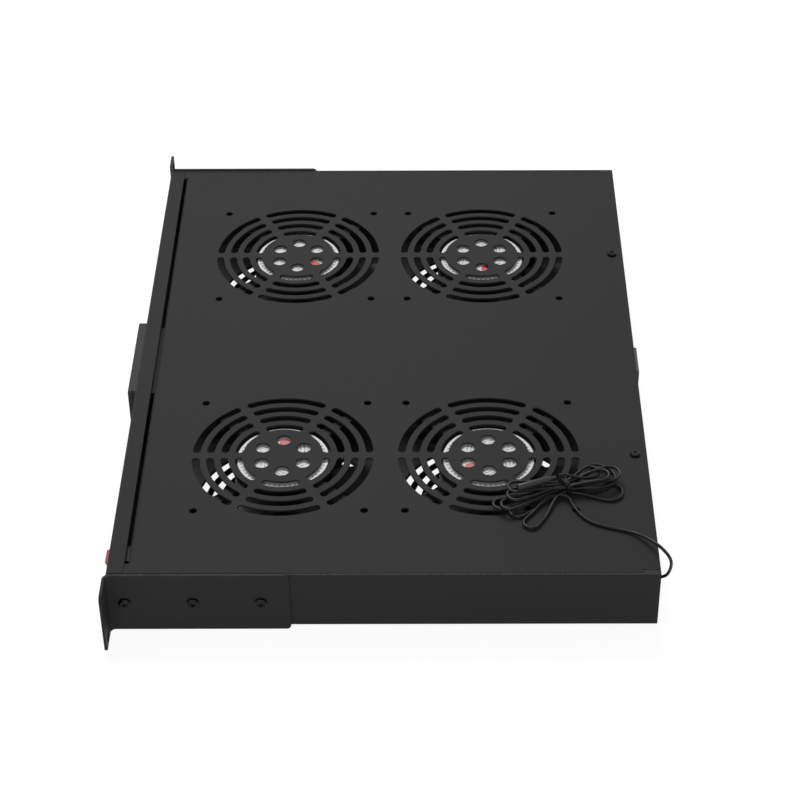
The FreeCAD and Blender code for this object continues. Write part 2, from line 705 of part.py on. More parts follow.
def fan_rotor(center):
    """The impeller: a cup-shaped hub, closed below, and its cambered blades."""
    cx, cy = center
    height = rotor_top_z - rotor_bottom_z
    hub = Part.makeCylinder(rotor_hub_r, height, V(0, 0, rotor_bottom_z))
    hub = hub.makeChamfer(rotor_hub_chamfer, edges_where(
        hub, lambda p, e: abs(p.z - rotor_bottom_z) < tiny and e.Curve.TypeId == "Part::GeomCircle"))
    cup = Part.makeCylinder(rotor_hub_r - rotor_hub_wall, height,
                            V(0, 0, rotor_bottom_z + rotor_hub_wall))
    mid_z = (rotor_bottom_z + rotor_top_z) / 2
    root = blade_section(rotor_hub_r - rotor_hub_wall / 2, blade_root_chord, blade_root_pitch, 0, mid_z)
    tip = blade_section(rotor_tip_r + blade_overrun, blade_tip_chord, blade_tip_pitch, blade_sweep, mid_z)
    blade = Part.makeLoft([root, tip], True, True)
    ring = Part.makeCylinder(rotor_tip_r, height, V(0, 0, rotor_bottom_z))
    blade = blade.common(ring)
    blades = []
    for i in range(blade_count):
        copy = blade.copy()
        copy.rotate(V(0, 0, 0), Z_AXIS, 360.0 * i / blade_count)
        blades.append(copy)
    boss_z = rotor_bottom_z + rotor_hub_wall
    boss = Part.makeCylinder(shaft_r + shaft_boss_wall, shaft_boss_height, V(0, 0, boss_z))
    solid = hub.multiFuse(blades).cut(cup).fuse(boss)
    solid = solid.cut(Part.makeCylinder(shaft_r, height, V(0, 0, rotor_bottom_z + rotor_hub_wall / 2)))
    solid.translate(V(cx, cy, 0))
    return solid


def fan_shaft(center):
    """The rotor's shaft, pressed into the hub and running in both bearings."""
    cx, cy = center
    low = rotor_bottom_z + rotor_hub_wall / 2
    high = bearing_zs[1] + bearing_height - shaft_end_gap
    return rod(shaft_r, (cx, cy, low), (cx, cy, high))


def fan_labels():
    """A plain disc on each motor base."""
    return [Part.makeCylinder(label_r, label_thickness, V(cx, cy, fan_top_z)) for cx, cy in fan_centers]


def fan_terminals():
    """Two spade terminals in a block on each fan's inner side."""
    blocks = []
    z0 = floor_z + fan_flange + terminal_lift
    middle = z0 + terminal_block_height / 2
    for cx, cy in fan_centers:
        side = -1 if cx > 0 else 1
        face = cx + side * (fan_size / 2 - terminal_slot_depth)
        front = face + side * terminal_block_depth
        x0, x1 = sorted((face, front))
        block = box(x0, x1, cy - terminal_slot_width / 2, cy + terminal_slot_width / 2,
                    z0, z0 + terminal_block_height)
        x2, x3 = sorted((front - side * seat, cx + side * (fan_size / 2 + terminal_reach)))
        spades = [box(x2, x3, cy + dy - fan_spade_width / 2, cy + dy + fan_spade_width / 2,
                      middle - fan_spade_thickness / 2, middle + fan_spade_thickness / 2)
                  for dy in (-fan_spade_offset, fan_spade_offset)]
        blocks.append(fuse(block, *spades))
    return blocks


def thermostat_housing():
    """Bezel in front of the panel and a hollow body behind it, open at the rear."""
    x, z = thermostat_x, thermostat_z
    bezel = rounded_block(bezel_width, bezel_height, x, z, -bezel_thickness, 0, bezel_corner_r)
    bezel = bezel.makeFillet(bezel_edge_r, edges_where(
        bezel, lambda p, e: abs(p.y + bezel_thickness) < tiny))
    solid = fuse(bezel, centered(module_width, module_height, x, z, -seat, module_depth))
    front_y = -bezel_thickness - past
    cutters = [centered(2 * opening_half, module_inside_height, x, z, bezel_back_y, board_y + past),
               centered(module_inside_width, module_inside_height, x, z, board_y, module_depth + past),
               centered(window_width, window_height, x + window_x, z, front_y, bezel_back_y + past)]
    cutters += [centered(button_width + 2 * button_gap, button_height + 2 * button_gap, bx, bz,
                         front_y, bezel_back_y + past) for bx, bz in button_centers]
    return drilled(solid, cutters)


def thermostat_window():
    """Clear display window: a pane in the opening with a flange behind the bezel's face."""
    x, z = thermostat_x + window_x, thermostat_z
    pane = centered(window_width, window_height, x, z, window_recess - bezel_thickness, bezel_back_y)
    flange = centered(window_width + 2 * window_flange, window_height + 2 * window_flange, x, z,
                      bezel_back_y, bezel_back_y + window_flange)
    return fuse(pane, flange)


def thermostat_button(spot):
    """A push button: cap through the bezel, retaining flange behind it, and a stem to its key switch."""
    back_y = bezel_back_y + button_play
    cap = rounded_block(button_width, button_height, *spot, -bezel_thickness - button_proud, back_y,
                        button_corner_r)
    flange = centered(button_width + 2 * button_flange, button_height + 2 * button_flange, *spot,
                      back_y, back_y + button_flange)
    stem = centered(button_stem, button_stem, *spot, back_y,
                    board_y - key_switch_height - button_stroke - button_play)
    return fuse(cap, flange, stem)


def thermostat_board():
    """Circuit board with the display and one key switch behind each button."""
    board = centered(module_inside_width, module_inside_height, thermostat_x, thermostat_z,
                     board_y, board_y + board_thickness)
    display = centered(window_width, window_height, thermostat_x + window_x, thermostat_z,
                       bezel_back_y + window_flange, board_y)
    keys = [centered(key_switch_side, key_switch_side, bx, bz, board_y - key_switch_height, board_y)
            for bx, bz in button_centers]
    relay = centered(relay_width, relay_height, thermostat_x - relay_width, thermostat_z,
                     board_y + board_thickness, board_y + board_thickness + relay_depth)
    return fuse(board, display, relay, *keys)


def thermostat_terminals():
    """Rear closing plate with a row of screw terminals between barriers."""
    plate = centered(module_inside_width, module_inside_height, thermostat_x, thermostat_z,
                     module_depth - module_wall, module_depth)
    rear_y = module_depth + terminal_strip_depth
    strip = centered(terminal_count * terminal_pitch, terminal_strip_height, thermostat_x, thermostat_z,
                     module_depth, rear_y)
    cutters = []
    for i in range(terminal_count):
        x = thermostat_x + (i - (terminal_count - 1) / 2) * terminal_pitch
        screw_z = thermostat_z + terminal_screw_rise
        cutters.append(rod(terminal_screw_r, (x, rear_y - terminal_screw_depth, screw_z),
                           (x, rear_y + past, screw_z)))
        cutters.append(centered(terminal_pitch - terminal_barrier, terminal_entry_height, x,
                                thermostat_z - terminal_row_drop, rear_y - terminal_entry_depth,
                                rear_y + past))
    return drilled(fuse(plate, strip), cutters)


def thermostat_clips():
    """Two slides on the body's sides that pull the bezel against the panel."""
    clips = []
    for sx in (-1, 1):
        face = thermostat_x + sx * module_width / 2
        x0, x1 = sorted((face, face + sx * clip_thickness))
        x2, x3 = sorted((face, face + sx * clip_foot))
        low, high = thermostat_z - clip_width / 2, thermostat_z + clip_width / 2
        slide = box(x0, x1, sheet, sheet + clip_length, low, high)
        foot = box(x2, x3, sheet, sheet + clip_foot, low, high)
        toe = box(x2, x3, sheet + clip_length - clip_thickness, sheet + clip_length, low, high)
        clips.append(fuse(slide, foot, toe))
    return clips


def switch_housing():
    """Rocker switch body: bezel, hollow body with snap wedges, and slots for the spades."""
    bezel = rounded_block(switch_bezel_width, switch_bezel_height, switch_x, switch_z,
                          -switch_bezel_thickness, 0, switch_bezel_corner_r)
    body = centered(switch_body_width, switch_body_height, switch_x, switch_z, -seat, switch_body_depth)
    wedges = []
    for sz in (-1, 1):
        z = switch_z + sz * (switch_body_height / 2 - snap_root)
        tip = z + sz * (snap_rise + snap_root)
        x, y = switch_x - snap_width / 2, sheet + snap_play
        wedges.append(prism([(x, y, z), (x, y, tip), (x, y + snap_length, z)], (snap_width, 0, 0)))
    opening = centered(rocker_width + 2 * rocker_gap, 2 * (rocker_r + rocker_gap), switch_x, switch_z,
                       -switch_bezel_thickness - past, switch_body_depth - switch_floor)
    pin_reach = rocker_width / 2 + rocker_pin_length + rocker_gap / 2
    pin_bore = rod(rocker_pin_r + running_gap, (switch_x - pin_reach, rocker_pivot_y, switch_z),
                   (switch_x + pin_reach, rocker_pivot_y, switch_z))
    return drilled(fuse(bezel, body, *wedges), [opening, pin_bore] + switch_spades())


def switch_spades():
    """Three spade terminals out of the switch's rear."""
    y0, y1 = switch_body_depth - switch_floor, switch_body_depth + spade_length
    return [centered(spade_width, spade_thickness, switch_x, switch_z + i * spade_pitch, y0, y1)
            for i in (-1, 0, 1)]


def rocker():
    """The rocker: a barrel about its pins, cut to two faces that meet in a shallow valley."""
    half = rocker_width / 2
    barrel = Part.makeCylinder(rocker_r, rocker_width, V(switch_x - half, rocker_pivot_y, switch_z), X_AXIS)
    reach, slope = rocker_r + past, math.tan(math.radians(rocker_half_swing))
    x, far_y = switch_x - half - past, rocker_pivot_y - reach
    edge_y = rocker_center_y - reach * slope
    front = prism([(x, far_y, switch_z - reach), (x, edge_y, switch_z - reach),
                   (x, rocker_center_y, switch_z), (x, edge_y, switch_z + reach),
                   (x, far_y, switch_z + reach)], (rocker_width + 2 * past, 0, 0))
    rear = centered(rocker_width + 2 * past, 2 * reach, switch_x, switch_z,
                    rocker_pivot_y + rocker_skirt, rocker_pivot_y + reach)
    solid = drilled(barrel, [front, rear])
    pin_reach = half + rocker_pin_length
    pins = rod(rocker_pin_r, (switch_x - pin_reach, rocker_pivot_y, switch_z),
               (switch_x + pin_reach, rocker_pivot_y, switch_z))
    solid = fuse(solid, pins)
    solid.rotate(V(switch_x, rocker_pivot_y, switch_z), X_AXIS, rocker_half_swing)
    return solid


def inlet_outline(width, height, cut, y):
    """The socket's outline, a rectangle with its two upper corners cut off."""
    w, h = width / 2, height / 2
    return [(inlet_x + a, y, inlet_z + b) for a, b in
            ((-w, -h), (w, -h), (w, h - cut), (w - cut, h), (-w + cut, h), (-w, h - cut))]


def inlet_pins():
    """Three flat pins, the middle one set up, which end as spades inside the tray."""
    y0 = body_depth - inlet_depth - spade_length
    y1 = body_depth + inlet_flange_thickness - inlet_pin_recess
    lift = inlet_earth_drop / 2
    places = ((-inlet_pin_pitch / 2, -lift), (inlet_pin_pitch / 2, -lift), (0.0, lift))
    return [centered(inlet_pin_width, inlet_pin_height, inlet_x + dx, inlet_z + dz, y0, y1)
            for dx, dz in places]


def inlet_housing():
    """Mains inlet: flange on the rear face, body through the wall, and the plug's recess."""
    face = body_depth + inlet_flange_thickness
    flange = rounded_block(inlet_flange_width, inlet_flange_height, inlet_x, inlet_z,
                           body_depth, face, inlet_flange_corner_r)
    body = centered(inlet_body_width, inlet_body_height, inlet_x, inlet_z,
                    body_depth - inlet_depth, body_depth + seat)
    wedges = []
    for sx in (-1, 1):
        x = inlet_x + sx * (inlet_body_width / 2 - snap_root)
        tip = x + sx * (snap_rise + snap_root)
        y = body_depth - sheet - snap_play
        z = inlet_z - snap_width / 2
        wedges.append(prism([(x, y, z), (tip, y, z), (x, y - snap_length, z)], (0, 0, snap_width)))
    recess = prism(inlet_outline(inlet_socket_width, inlet_socket_height, inlet_socket_corner,
                                 face - inlet_socket_depth), (0, inlet_socket_depth + past, 0))
    return drilled(fuse(flange, body, *wedges), [recess] + inlet_pins())


def earth_stud():
    """A stud up through the bottom sheet for the earth wires."""
    return screw((earth_x, earth_y, bottom_z), (0, 0, 1), m4_r, sheet + earth_length,
                 wafer_head_r, wafer_head_h, False)


def earth_nut():
    return nut((earth_x, earth_y, floor_z), (0, 0, 1), m4_nut_flats, m4_nut_h, m4_r + thread_gap)


def bends(route):
    """For each inner point of a route: the arc's two ends, its centre, radius, turn and axis.

    Each arc is as large as its two runs allow: 0.45 of the shorter one on each side of the point.
    """
    points = [V(*p) for p in route]
    found = []
    for before, here, after in zip(points, points[1:], points[2:]):
        a, b = before - here, after - here
        reach = 0.45 * min(a.Length, b.Length)
        a.normalize()
        b.normalize()
        turn = math.pi - a.getAngle(b)
        radius = reach / math.tan(turn / 2)
        inward = a + b
        inward.normalize()
        center = here + inward * (radius / math.cos(turn / 2))
        first, second = here + a * reach, here + b * reach
        found.append((first, second, center, radius, turn, (first - center).cross(second - center)))
    return found


def tube(route, r):
    """A round tube along a route: straight runs joined by tangent arcs."""
    start = V(*route[0])
    pieces = []
    for first, second, center, _, turn, axis in bends(route):
        run = first - start
        pieces.append(Part.makeCylinder(r, run.Length, start, run))
        disc = Part.Face(Part.Wire(Part.makeCircle(r, first, run)))
        pieces.append(disc.revolve(center, axis, math.degrees(turn)))
        start = second
    run = V(*route[-1]) - start
    pieces.append(Part.makeCylinder(r, run.Length, start, run))
    return fuse(*pieces)


def tube_length(route):
    """The length of a route's runs and arcs."""
    points = [V(*p) for p in route]
    total = sum((q - p).Length for p, q in zip(points, points[1:]))
    for *_, radius, turn, _ in bends(route):
        total += radius * turn - 2 * radius * math.tan(turn / 2)
    return total


def wire(route):
    """One insulated wire: a round section swept along straight runs, mitred at the corners."""
    points = [V(*p) for p in route]
    section = Part.Wire(Part.makeCircle(wire_r, points[0], points[1] - points[0]))
    return Part.makePolygon(points).makePipeShell([section], True, False, mitred)


def wiring_loom():
    """Wires in a trunk from inlet to thermostat, with branches to the fans and one to the switch."""
    z = floor_z + trunk_r + trunk_lift
    rear_y = body_depth - inlet_depth - spade_length - wire_clearance
    strip_y = module_depth + terminal_strip_depth
    front_y = strip_y + wire_clearance
    trunk = rod(trunk_r, (trunk_x, front_y, z), (trunk_x, rear_y, z))
    entry_x, entry_z = thermostat_x + terminal_pitch / 2, thermostat_z - terminal_row_drop
    wires = [wire([(trunk_x, front_y + wire_rise, z), (entry_x, front_y, entry_z),
                   (entry_x, strip_y - terminal_entry_depth, entry_z)])]
    pin_z = inlet_z - inlet_earth_drop / 2
    for side in (-1, 1):
        pin_x = inlet_x + side * inlet_pin_pitch / 2
        wires.append(wire([(trunk_x, rear_y - wire_rise, z), (pin_x, rear_y, pin_z),
                           (pin_x, rear_y + wire_clearance, pin_z)]))
    spade_z = floor_z + fan_flange + terminal_lift + terminal_block_height / 2
    for cx, cy in fan_centers:
        sign = 1 if cx > 0 else -1
        end = cx - sign * (fan_size / 2 + terminal_reach)
        for dy in (-fan_spade_offset, fan_spade_offset):
            wires.append(wire([(trunk_x, cy + dy, z), (end - sign * wire_rise, cy + dy, spade_z),
                               (end, cy + dy, spade_z)]))
    spade_end = switch_body_depth + spade_length
    low_z = floor_z + wire_r + trunk_lift
    wires.append(wire([(trunk_x, fan_row_center_y, z), (switch_x, fan_row_center_y, low_z),
                       (switch_x, spade_end + 2 * wire_rise, low_z),
                       (switch_x, spade_end + wire_clearance, switch_z),
                       (switch_x, spade_end, switch_z)]))
    return fuse(trunk, *wires)


def grommet():
    """Rubber grommet: a flange on each side of the rear wall and a bore for the lead."""
    y0, y1 = body_depth - sheet - grommet_flange, body_depth + grommet_flange
    middle = rod(grommet_r, (grommet_x, y0, grommet_z), (grommet_x, y1, grommet_z))
    flanges = [rod(grommet_flange_r, (grommet_x, y, grommet_z), (grommet_x, y + grommet_flange, grommet_z))
               for y in (y0, body_depth)]
    bore = rod(lead_r, (grommet_x, y0 - past, grommet_z), (grommet_x, y1 + past, grommet_z))
    return fuse(middle, *flanges).cut(bore)


def lead_points():
    """The lead's route: straight out of the grommet, then up behind the rear wall and over the cover."""
    return [(half_width + x, body_depth + y, top_z + z) for x, y, z in lead_route]


def sensor_lead():
    """The lead from inside the rear wall to the hank on the cover."""
    return tube(lead_points(), lead_r)


def tie_ring():
    """The tie's outer block and its inside, turned across the hank's long axis."""
    low = top_z + hank_bottom
    outer = box(-hank_waist_r - tie_wall, hank_waist_r + tie_wall, -tie_width / 2, tie_width / 2,
                low, top_z + hank_bottom + hank_height + tie_wall)
    inner = box(-hank_waist_r, hank_waist_r, -tie_width, tie_width,
                low + tie_wall, low + hank_height)
    for block in (outer, inner):
        block.rotate(V(0, 0, 0), Z_AXIS, hank_turn)
        block.translate(V(tie_x, tie_y, 0))
    return outer, inner


def sensor_hank():
    """The tied hank's outer shape: three lobes, each narrowing to the waist under the tie."""
    z = top_z + hank_bottom
    solids = [Part.makeCylinder(hank_waist_r, hank_height, V(tie_x, tie_y, z))]
    for angle, distance, r in hank_lobes:
        lobe = Part.makeCylinder(r, hank_height, V(distance, 0, z))
        lean = math.asin((r - hank_waist_r) / distance)
        near = [V(-hank_waist_r * math.sin(lean), s * hank_waist_r * math.cos(lean), z) for s in (-1, 1)]
        far = [V(distance - r * math.sin(lean), s * r * math.cos(lean), z) for s in (-1, 1)]
        neck = prism([near[0], far[0], far[1], near[1]], (0, 0, hank_height))
        for part in (lobe, neck):
            part.rotate(V(0, 0, 0), Z_AXIS, angle)
            part.translate(V(tie_x, tie_y, 0))
        solids += [lobe, neck]
    solid = fuse(*solids)
    outer, inner = tie_ring()
    return solid.cut(outer.cut(inner))


def cable_tie():
    outer, inner = tie_ring()
    return outer.cut(inner)


def sensor_probe():
    """Temperature probe on top of the hank: a capped cylinder and a stub for the lead."""
    z = top_z + hank_bottom + hank_height + probe_r + probe_lift
    body = rod(probe_r, (0, 0, z), (probe_length, 0, z))
    body = body.makeChamfer(probe_edge, edges_where(
        body, lambda p, e: e.Curve.TypeId == "Part::GeomCircle" and abs(e.Curve.Center.x) < tiny))
    stub = rod(probe_stub_r, (probe_length, 0, z), (probe_length + probe_stub, 0, z))
    solid = fuse(body, stub)
    solid.rotate(V(0, 0, 0), Z_AXIS, probe_turn)
    solid.translate(V(probe_x, probe_y, 0))
    return solid


def main():
    os.makedirs("parts", exist_ok=True)
    nodes = {
        "base_tray": [base_tray()],
        "top_cover": [top_cover()],
        "cover_screws": cover_screws(),
        "cover_nuts": cover_nuts(),
        "rack_ear_right": [rack_ear(1)],
        "rack_ear_left": [rack_ear(-1)],
        "ear_screws": ear_screws(),
        "ear_nuts": ear_nuts(),
        "fan_screws": fan_screws(),
        "fan_nuts": fan_nuts(),
        "fan_bearings": fan_bearings(),
        "fan_labels": fan_labels(),
        "fan_terminals": fan_terminals(),
        "thermostat_housing": [thermostat_housing()],
        "thermostat_window": [thermostat_window()],
        "thermostat_board": [thermostat_board()],
        "thermostat_terminals": [thermostat_terminals()],
        "thermostat_clips": thermostat_clips(),
        "switch_housing": [switch_housing()],
        "switch_rocker": [rocker()],
        "switch_spades": switch_spades(),
        "inlet_housing": [inlet_housing()],
        "inlet_pins": inlet_pins(),
        "earth_stud": [earth_stud()],
        "earth_nut": [earth_nut()],
        "wiring_loom": [wiring_loom()],
        "grommet": [grommet()],
        "sensor_lead": [sensor_lead()],
        "sensor_hank": [sensor_hank()],
        "cable_tie": [cable_tie()],
        "sensor_probe": [sensor_probe()],
    }
    for name, spot in zip(button_names, button_centers):
        nodes[f"button_{name}"] = [thermostat_button(spot)]
    for number, center in enumerate(fan_centers, 1):
        nodes[f"fan_{number}_frame"] = [fan_frame(center)]
        nodes[f"fan_{number}_stator"] = [fan_stator(center)]
        nodes[f"fan_{number}_rotor"] = [fan_rotor(center)]
        nodes[f"fan_{number}_shaft"] = [fan_shaft(center)]
    for name, solids in nodes.items():
        shape = solids[0] if len(solids) == 1 else Part.makeCompound(solids)
        shape.exportStep(f"parts/{name}.step")
        print(name, len(shape.Solids), round(shape.Volume, 1), shape.isValid())
    print("lead radii", [round(bend[3], 1) for bend in bends(lead_points())])
    print("lead length", round(tube_length(lead_points()), 1),
          "by volume", round(nodes["sensor_lead"][0].Volume / (math.pi * lead_r ** 2), 1))


main()
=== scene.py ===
"""Looks of the rack fan tray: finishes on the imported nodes, the sensor lead in its hank, marks and digits.

Row frame, metres: X to the right seen from the front, Y to the rear, Z up.
"""
import math

import bpy
import numpy as np
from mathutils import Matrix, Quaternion, Vector

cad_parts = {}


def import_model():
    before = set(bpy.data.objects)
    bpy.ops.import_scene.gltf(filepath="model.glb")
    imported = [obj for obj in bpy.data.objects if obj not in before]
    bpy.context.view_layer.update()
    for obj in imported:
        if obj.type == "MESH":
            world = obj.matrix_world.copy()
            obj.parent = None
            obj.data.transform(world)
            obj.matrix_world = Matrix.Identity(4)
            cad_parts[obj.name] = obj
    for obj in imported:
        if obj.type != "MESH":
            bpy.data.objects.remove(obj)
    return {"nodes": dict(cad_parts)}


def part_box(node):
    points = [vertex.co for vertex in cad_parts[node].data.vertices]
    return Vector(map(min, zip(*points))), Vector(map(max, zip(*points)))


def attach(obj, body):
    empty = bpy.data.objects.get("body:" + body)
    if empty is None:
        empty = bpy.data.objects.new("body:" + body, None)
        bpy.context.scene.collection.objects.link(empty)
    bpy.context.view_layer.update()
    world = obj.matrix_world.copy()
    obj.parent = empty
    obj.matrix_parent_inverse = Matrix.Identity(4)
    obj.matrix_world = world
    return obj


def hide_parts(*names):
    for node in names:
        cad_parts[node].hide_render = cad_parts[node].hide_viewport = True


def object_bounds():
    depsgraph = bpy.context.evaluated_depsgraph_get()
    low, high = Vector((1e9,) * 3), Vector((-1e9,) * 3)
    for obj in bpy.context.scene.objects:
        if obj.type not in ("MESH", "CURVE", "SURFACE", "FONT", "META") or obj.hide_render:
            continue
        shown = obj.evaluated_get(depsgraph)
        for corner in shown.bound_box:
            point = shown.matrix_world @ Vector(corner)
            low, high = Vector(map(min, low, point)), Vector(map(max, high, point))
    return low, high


MM = 0.001

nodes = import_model()["nodes"]
cad_box = [list(corner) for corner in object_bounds()]
_, tray_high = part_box("base_tray")


# ---------------------------------------------------------------- camera

def make_camera():
    """A long lens beside and above the tray, with its small roll and the shift of its framing."""
    data = bpy.data.cameras.new("camera")
    data.sensor_width = 36.0
    data.lens = 99.34
    data.shift_x, data.shift_y = -0.02696, -0.01784
    camera = bpy.data.objects.new("camera", data)
    bpy.context.scene.collection.objects.link(camera)
    place, aim = Vector((1.1760, 0.1920, 0.9213)), Vector((0.0397, 0.1876, 0.0210))
    roll = math.radians(-0.275)
    camera.location = place
    camera.rotation_mode = "QUATERNION"
    facing = (aim - place).to_track_quat("-Z", "Y")
    camera.rotation_quaternion = facing @ Quaternion((0, 0, 1), roll)
    bpy.context.scene.camera = camera


make_camera()


# ---------------------------------------------------------------- mesh helpers

def mesh_piece(name, points, faces, body, material, smooth=True):
    """A mesh object from an array of points and a list of faces, riding on a body."""
    data = bpy.data.meshes.new(name)
    data.from_pydata(points.tolist(), [], faces)
    data.polygons.foreach_set("use_smooth", [smooth] * len(data.polygons))
    data.materials.append(material)
    piece = bpy.data.objects.new(name, data)
    bpy.context.scene.collection.objects.link(piece)
    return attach(piece, body)


def ring_strip(rows, columns, closed=False):
    """Quads between rings of points, each ring closed on itself.

    Quad (i, j) has point j and the next one round of ring i, and the same two of ring i + 1. A closed
    strip also joins the last ring to the first, as on the skin of a hoop.
    """
    i, j = np.meshgrid(np.arange(rows if closed else rows - 1), np.arange(columns), indexing="ij")
    next_i, next_j = (i + 1) % rows, (j + 1) % columns
    corners = (i * columns + j, i * columns + next_j, next_i * columns + next_j, next_i * columns + j)
    return np.stack(corners, axis=-1).reshape(-1, 4)


def slab(outline, low, high):
    """A flat plate: the points of a convex outline (n, 2) in its plane at two depths, with its faces.

    The outline is turned to run counter-clockwise, where its shoelace sum is above 0, so that the faces
    look outwards. Side i joins points i and i + 1 of both depths.
    """
    outline = np.asarray(outline)
    n = len(outline)
    x, y = outline[:, 0], outline[:, 1]
    if np.sum(x * np.roll(y, -1) - np.roll(x, -1) * y) < 0:
        outline = outline[::-1]
    points = np.concatenate([np.column_stack([outline, np.full(n, depth)]) for depth in (low, high)])
    i = np.arange(n)
    following = (i + 1) % n
    sides = np.stack([i, following, n + following, n + i], axis=-1)
    return points, [i[::-1].tolist(), (n + i).tolist(), *sides.tolist()]


def joined(plates):
    """Several plates as one mesh: the faces of each count on from the points before them."""
    points, faces, count = [], [], 0
    for made, sides in plates:
        points.append(made)
        faces += [[index + count for index in side] for side in sides]
        count += len(made)
    return np.concatenate(points), faces


def turned(profile, start, along, aside, up, columns):
    """A solid turned about an axis and closed at both ends, as points and faces.

    A skin point is start + distance * along + radius * (cosine of t * aside + sine of t * up), with t
    round the axis. The rows (distance, radius) of the profile run from end to end; the first and the
    last lie on the axis, and are one point each.
    """
    t = np.linspace(0.0, 2 * math.pi, columns, endpoint=False)
    ring = np.cos(t)[:, None] * aside + np.sin(t)[:, None] * up
    rows = profile[1:-1]
    skin = start + rows[:, 0, None, None] * along + rows[:, 1, None, None] * ring
    ends = start + profile[[0, -1], :1] * along
    points = np.concatenate([skin.reshape(-1, 3), ends])
    j = np.arange(columns)
    after, last, tip = (j + 1) % columns, (len(rows) - 1) * columns, len(rows) * columns
    at_tip = np.column_stack([np.full(columns, tip), after, j])
    at_tail = np.column_stack([np.full(columns, tip + 1), last + j, last + after])
    return points, [*ring_strip(len(rows), columns).tolist(), *at_tip.tolist(), *at_tail.tolist()]


# ---------------------------------------------------------------- sensor lead

LEAD_R = 1.0 * MM
CORNER = np.array(tray_high) / MM     # the case's rear right upper corner
LEAD_ROUTE = CORNER + np.array((      # the lead's points from that corner, as far as the hank
    (-25.0, -6.0, -27.0), (-25.0, 5.6, -27.0), (-20.8, 8.4, -15.5), (-16.4, 7.6, -3.0),
    (-17.6, 1.0, 5.4), (-26.4, -5.4, 4.2), (-35.6, -13.6, 1.1), (-40.0, -27.6, 1.1),
    (-45.0, -40.6, 1.1), (-57.4, -49.0, 1.5), (-68.3, -52.2, 3.3),
))
TIE = CORNER[:2] - (73.6, 54.2)
HANK_ALONG = math.radians(108.0)    # direction of the hank's long axis, towards the rear
STRAND_PITCH, ROW_PITCH = 2.1, 2.0  # in the tie, between strands side by side and one above another
FIRST_ROW_Z = 23.2
SPREAD_SHARE = 0.6                  # of a loop's reach, over which its strands leave their slot in the tie
# Each loop: reach from the tie, degrees that it leans aside, half its width, and its height
FRONT_LOOPS = ((39.5, 15.0, 5.0, 22.2), (46.5, 1.5, 4.6, 24.2), (43.0, 7.5, 4.8, 26.2),
               (41.0, 36.0, 4.8, 22.5), (37.0, 0.0, 5.4, 28.2), (35.0, -11.0, 4.6, 29.2))
REAR_LOOPS = ((36.0, 20.0, 7.5, 22.2), (34.0, -14.0, 10.0, 24.2), (33.5, -2.0, 9.0, 26.2),
              (36.5, -1.0, 6.5, 28.2), (28.5, 3.0, 5.0, 30.2), (25.0, -15.0, 5.0, 28.4))
TIP_LENGTH = 1.414                  # of a loop's tip past its straight part, in half widths
# One side of a loop's outline: share of its straight part, then half widths past that and aside
LOOP_SIDE = ((0.33, 0.0, 0.40), (0.70, 0.0, 0.84), (1.0, 0.0, 1.0), (1.0, 0.828, 1.0),
             (1.0, TIP_LENGTH, 0.414))
LAST_SLOT = (-4.0, 32.3)            # across and height of the last strand, on top of the others
LEAD_END = ((1.5, -3.9), (-2.4, -4.0))    # the lead's last points along and across, at that height


def hank_point(along, across, z):
    """A point given along and across the hank from its tie, in millimetres of the row frame."""
    long_way, cross_way = HANK_ALONG, HANK_ALONG - math.pi / 2
    x = TIE[0] + along * math.cos(long_way) + across * math.cos(cross_way)
    y = TIE[1] + along * math.sin(long_way) + across * math.sin(cross_way)
    return x, y, z


def waist_slot(number, to_front):
    """Across and height of a strand's place in the tie: rows of two strands for each direction."""
    row, column = divmod(number, 2)
    side = 1 if to_front else -1
    return side * STRAND_PITCH * (0.5 + column), FIRST_ROW_Z + ROW_PITCH * row


def loop_points(loop, toward, start, end):
    """One loop of the hank: out from a slot at the waist, round its tip and back to another slot.

    The tip's points are corners of an octagon about a circle as wide as the loop.
    """
    reach, lean, half, height = loop
    turn = math.radians(lean)
    outline = [(*step, -1) for step in LOOP_SIDE] + [(*step, 1) for step in LOOP_SIDE[::-1]]
    points = []
    for share, past, wide, side in outline:
        slot = start if side < 0 else end
        out, off = share * (reach - TIP_LENGTH * half) + past * half, toward * side * wide * half
        spread = min(1.0, out / (SPREAD_SHARE * reach))
        along = out * math.cos(turn) - off * math.sin(turn)
        aside = out * math.sin(turn) + off * math.cos(turn)
        across = slot[0] * (1 - spread) + aside * spread
        z = slot[1] * (1 - spread) + height * spread
        points.append(hank_point(toward * along, across, z))
    return points


def hank_points():
    """The tied length: loops to the front and to the rear by turns, through the tie between them."""
    points = []
    for turn, (front, rear) in enumerate(zip(FRONT_LOOPS, REAR_LOOPS)):
        inward, outward = waist_slot(turn, True), waist_slot(turn, False)
        following = waist_slot(turn + 1, True) if turn < len(REAR_LOOPS) - 1 else LAST_SLOT
        if turn:
            points.append(hank_point(0.0, *inward))
        points += loop_points(front, -1, inward, outward)
        points.append(hank_point(0.0, *outward))
        points += loop_points(rear, 1, outward, following)
    return points + [hank_point(*place, LAST_SLOT[1]) for place in LEAD_END]


def make_lead(material):
    """The round lead as one smooth spline: out of the grommet, over the rear edge, into the hank."""
    data = bpy.data.curves.new("sensor_cord", "CURVE")
    data.dimensions = "3D"
    data.bevel_depth = LEAD_R
    data.bevel_resolution = 4
    data.resolution_u = 6
    data.use_fill_caps = True
    spline = data.splines.new("NURBS")
    points = [*LEAD_ROUTE, *hank_points()]
    spline.points.add(len(points) - 1)
    for made, place in zip(spline.points, points):
        made.co = (*(MM * value for value in place), 1.0)
    spline.order_u = 3
    spline.use_endpoint_u = True
    data.materials.append(material)
    cord = bpy.data.objects.new("sensor_cord", data)
    bpy.context.scene.collection.objects.link(cord)
    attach(cord, "tray")
    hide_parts("sensor_lead", "sensor_hank")
    return cord


# ---------------------------------------------------------------- shader maths

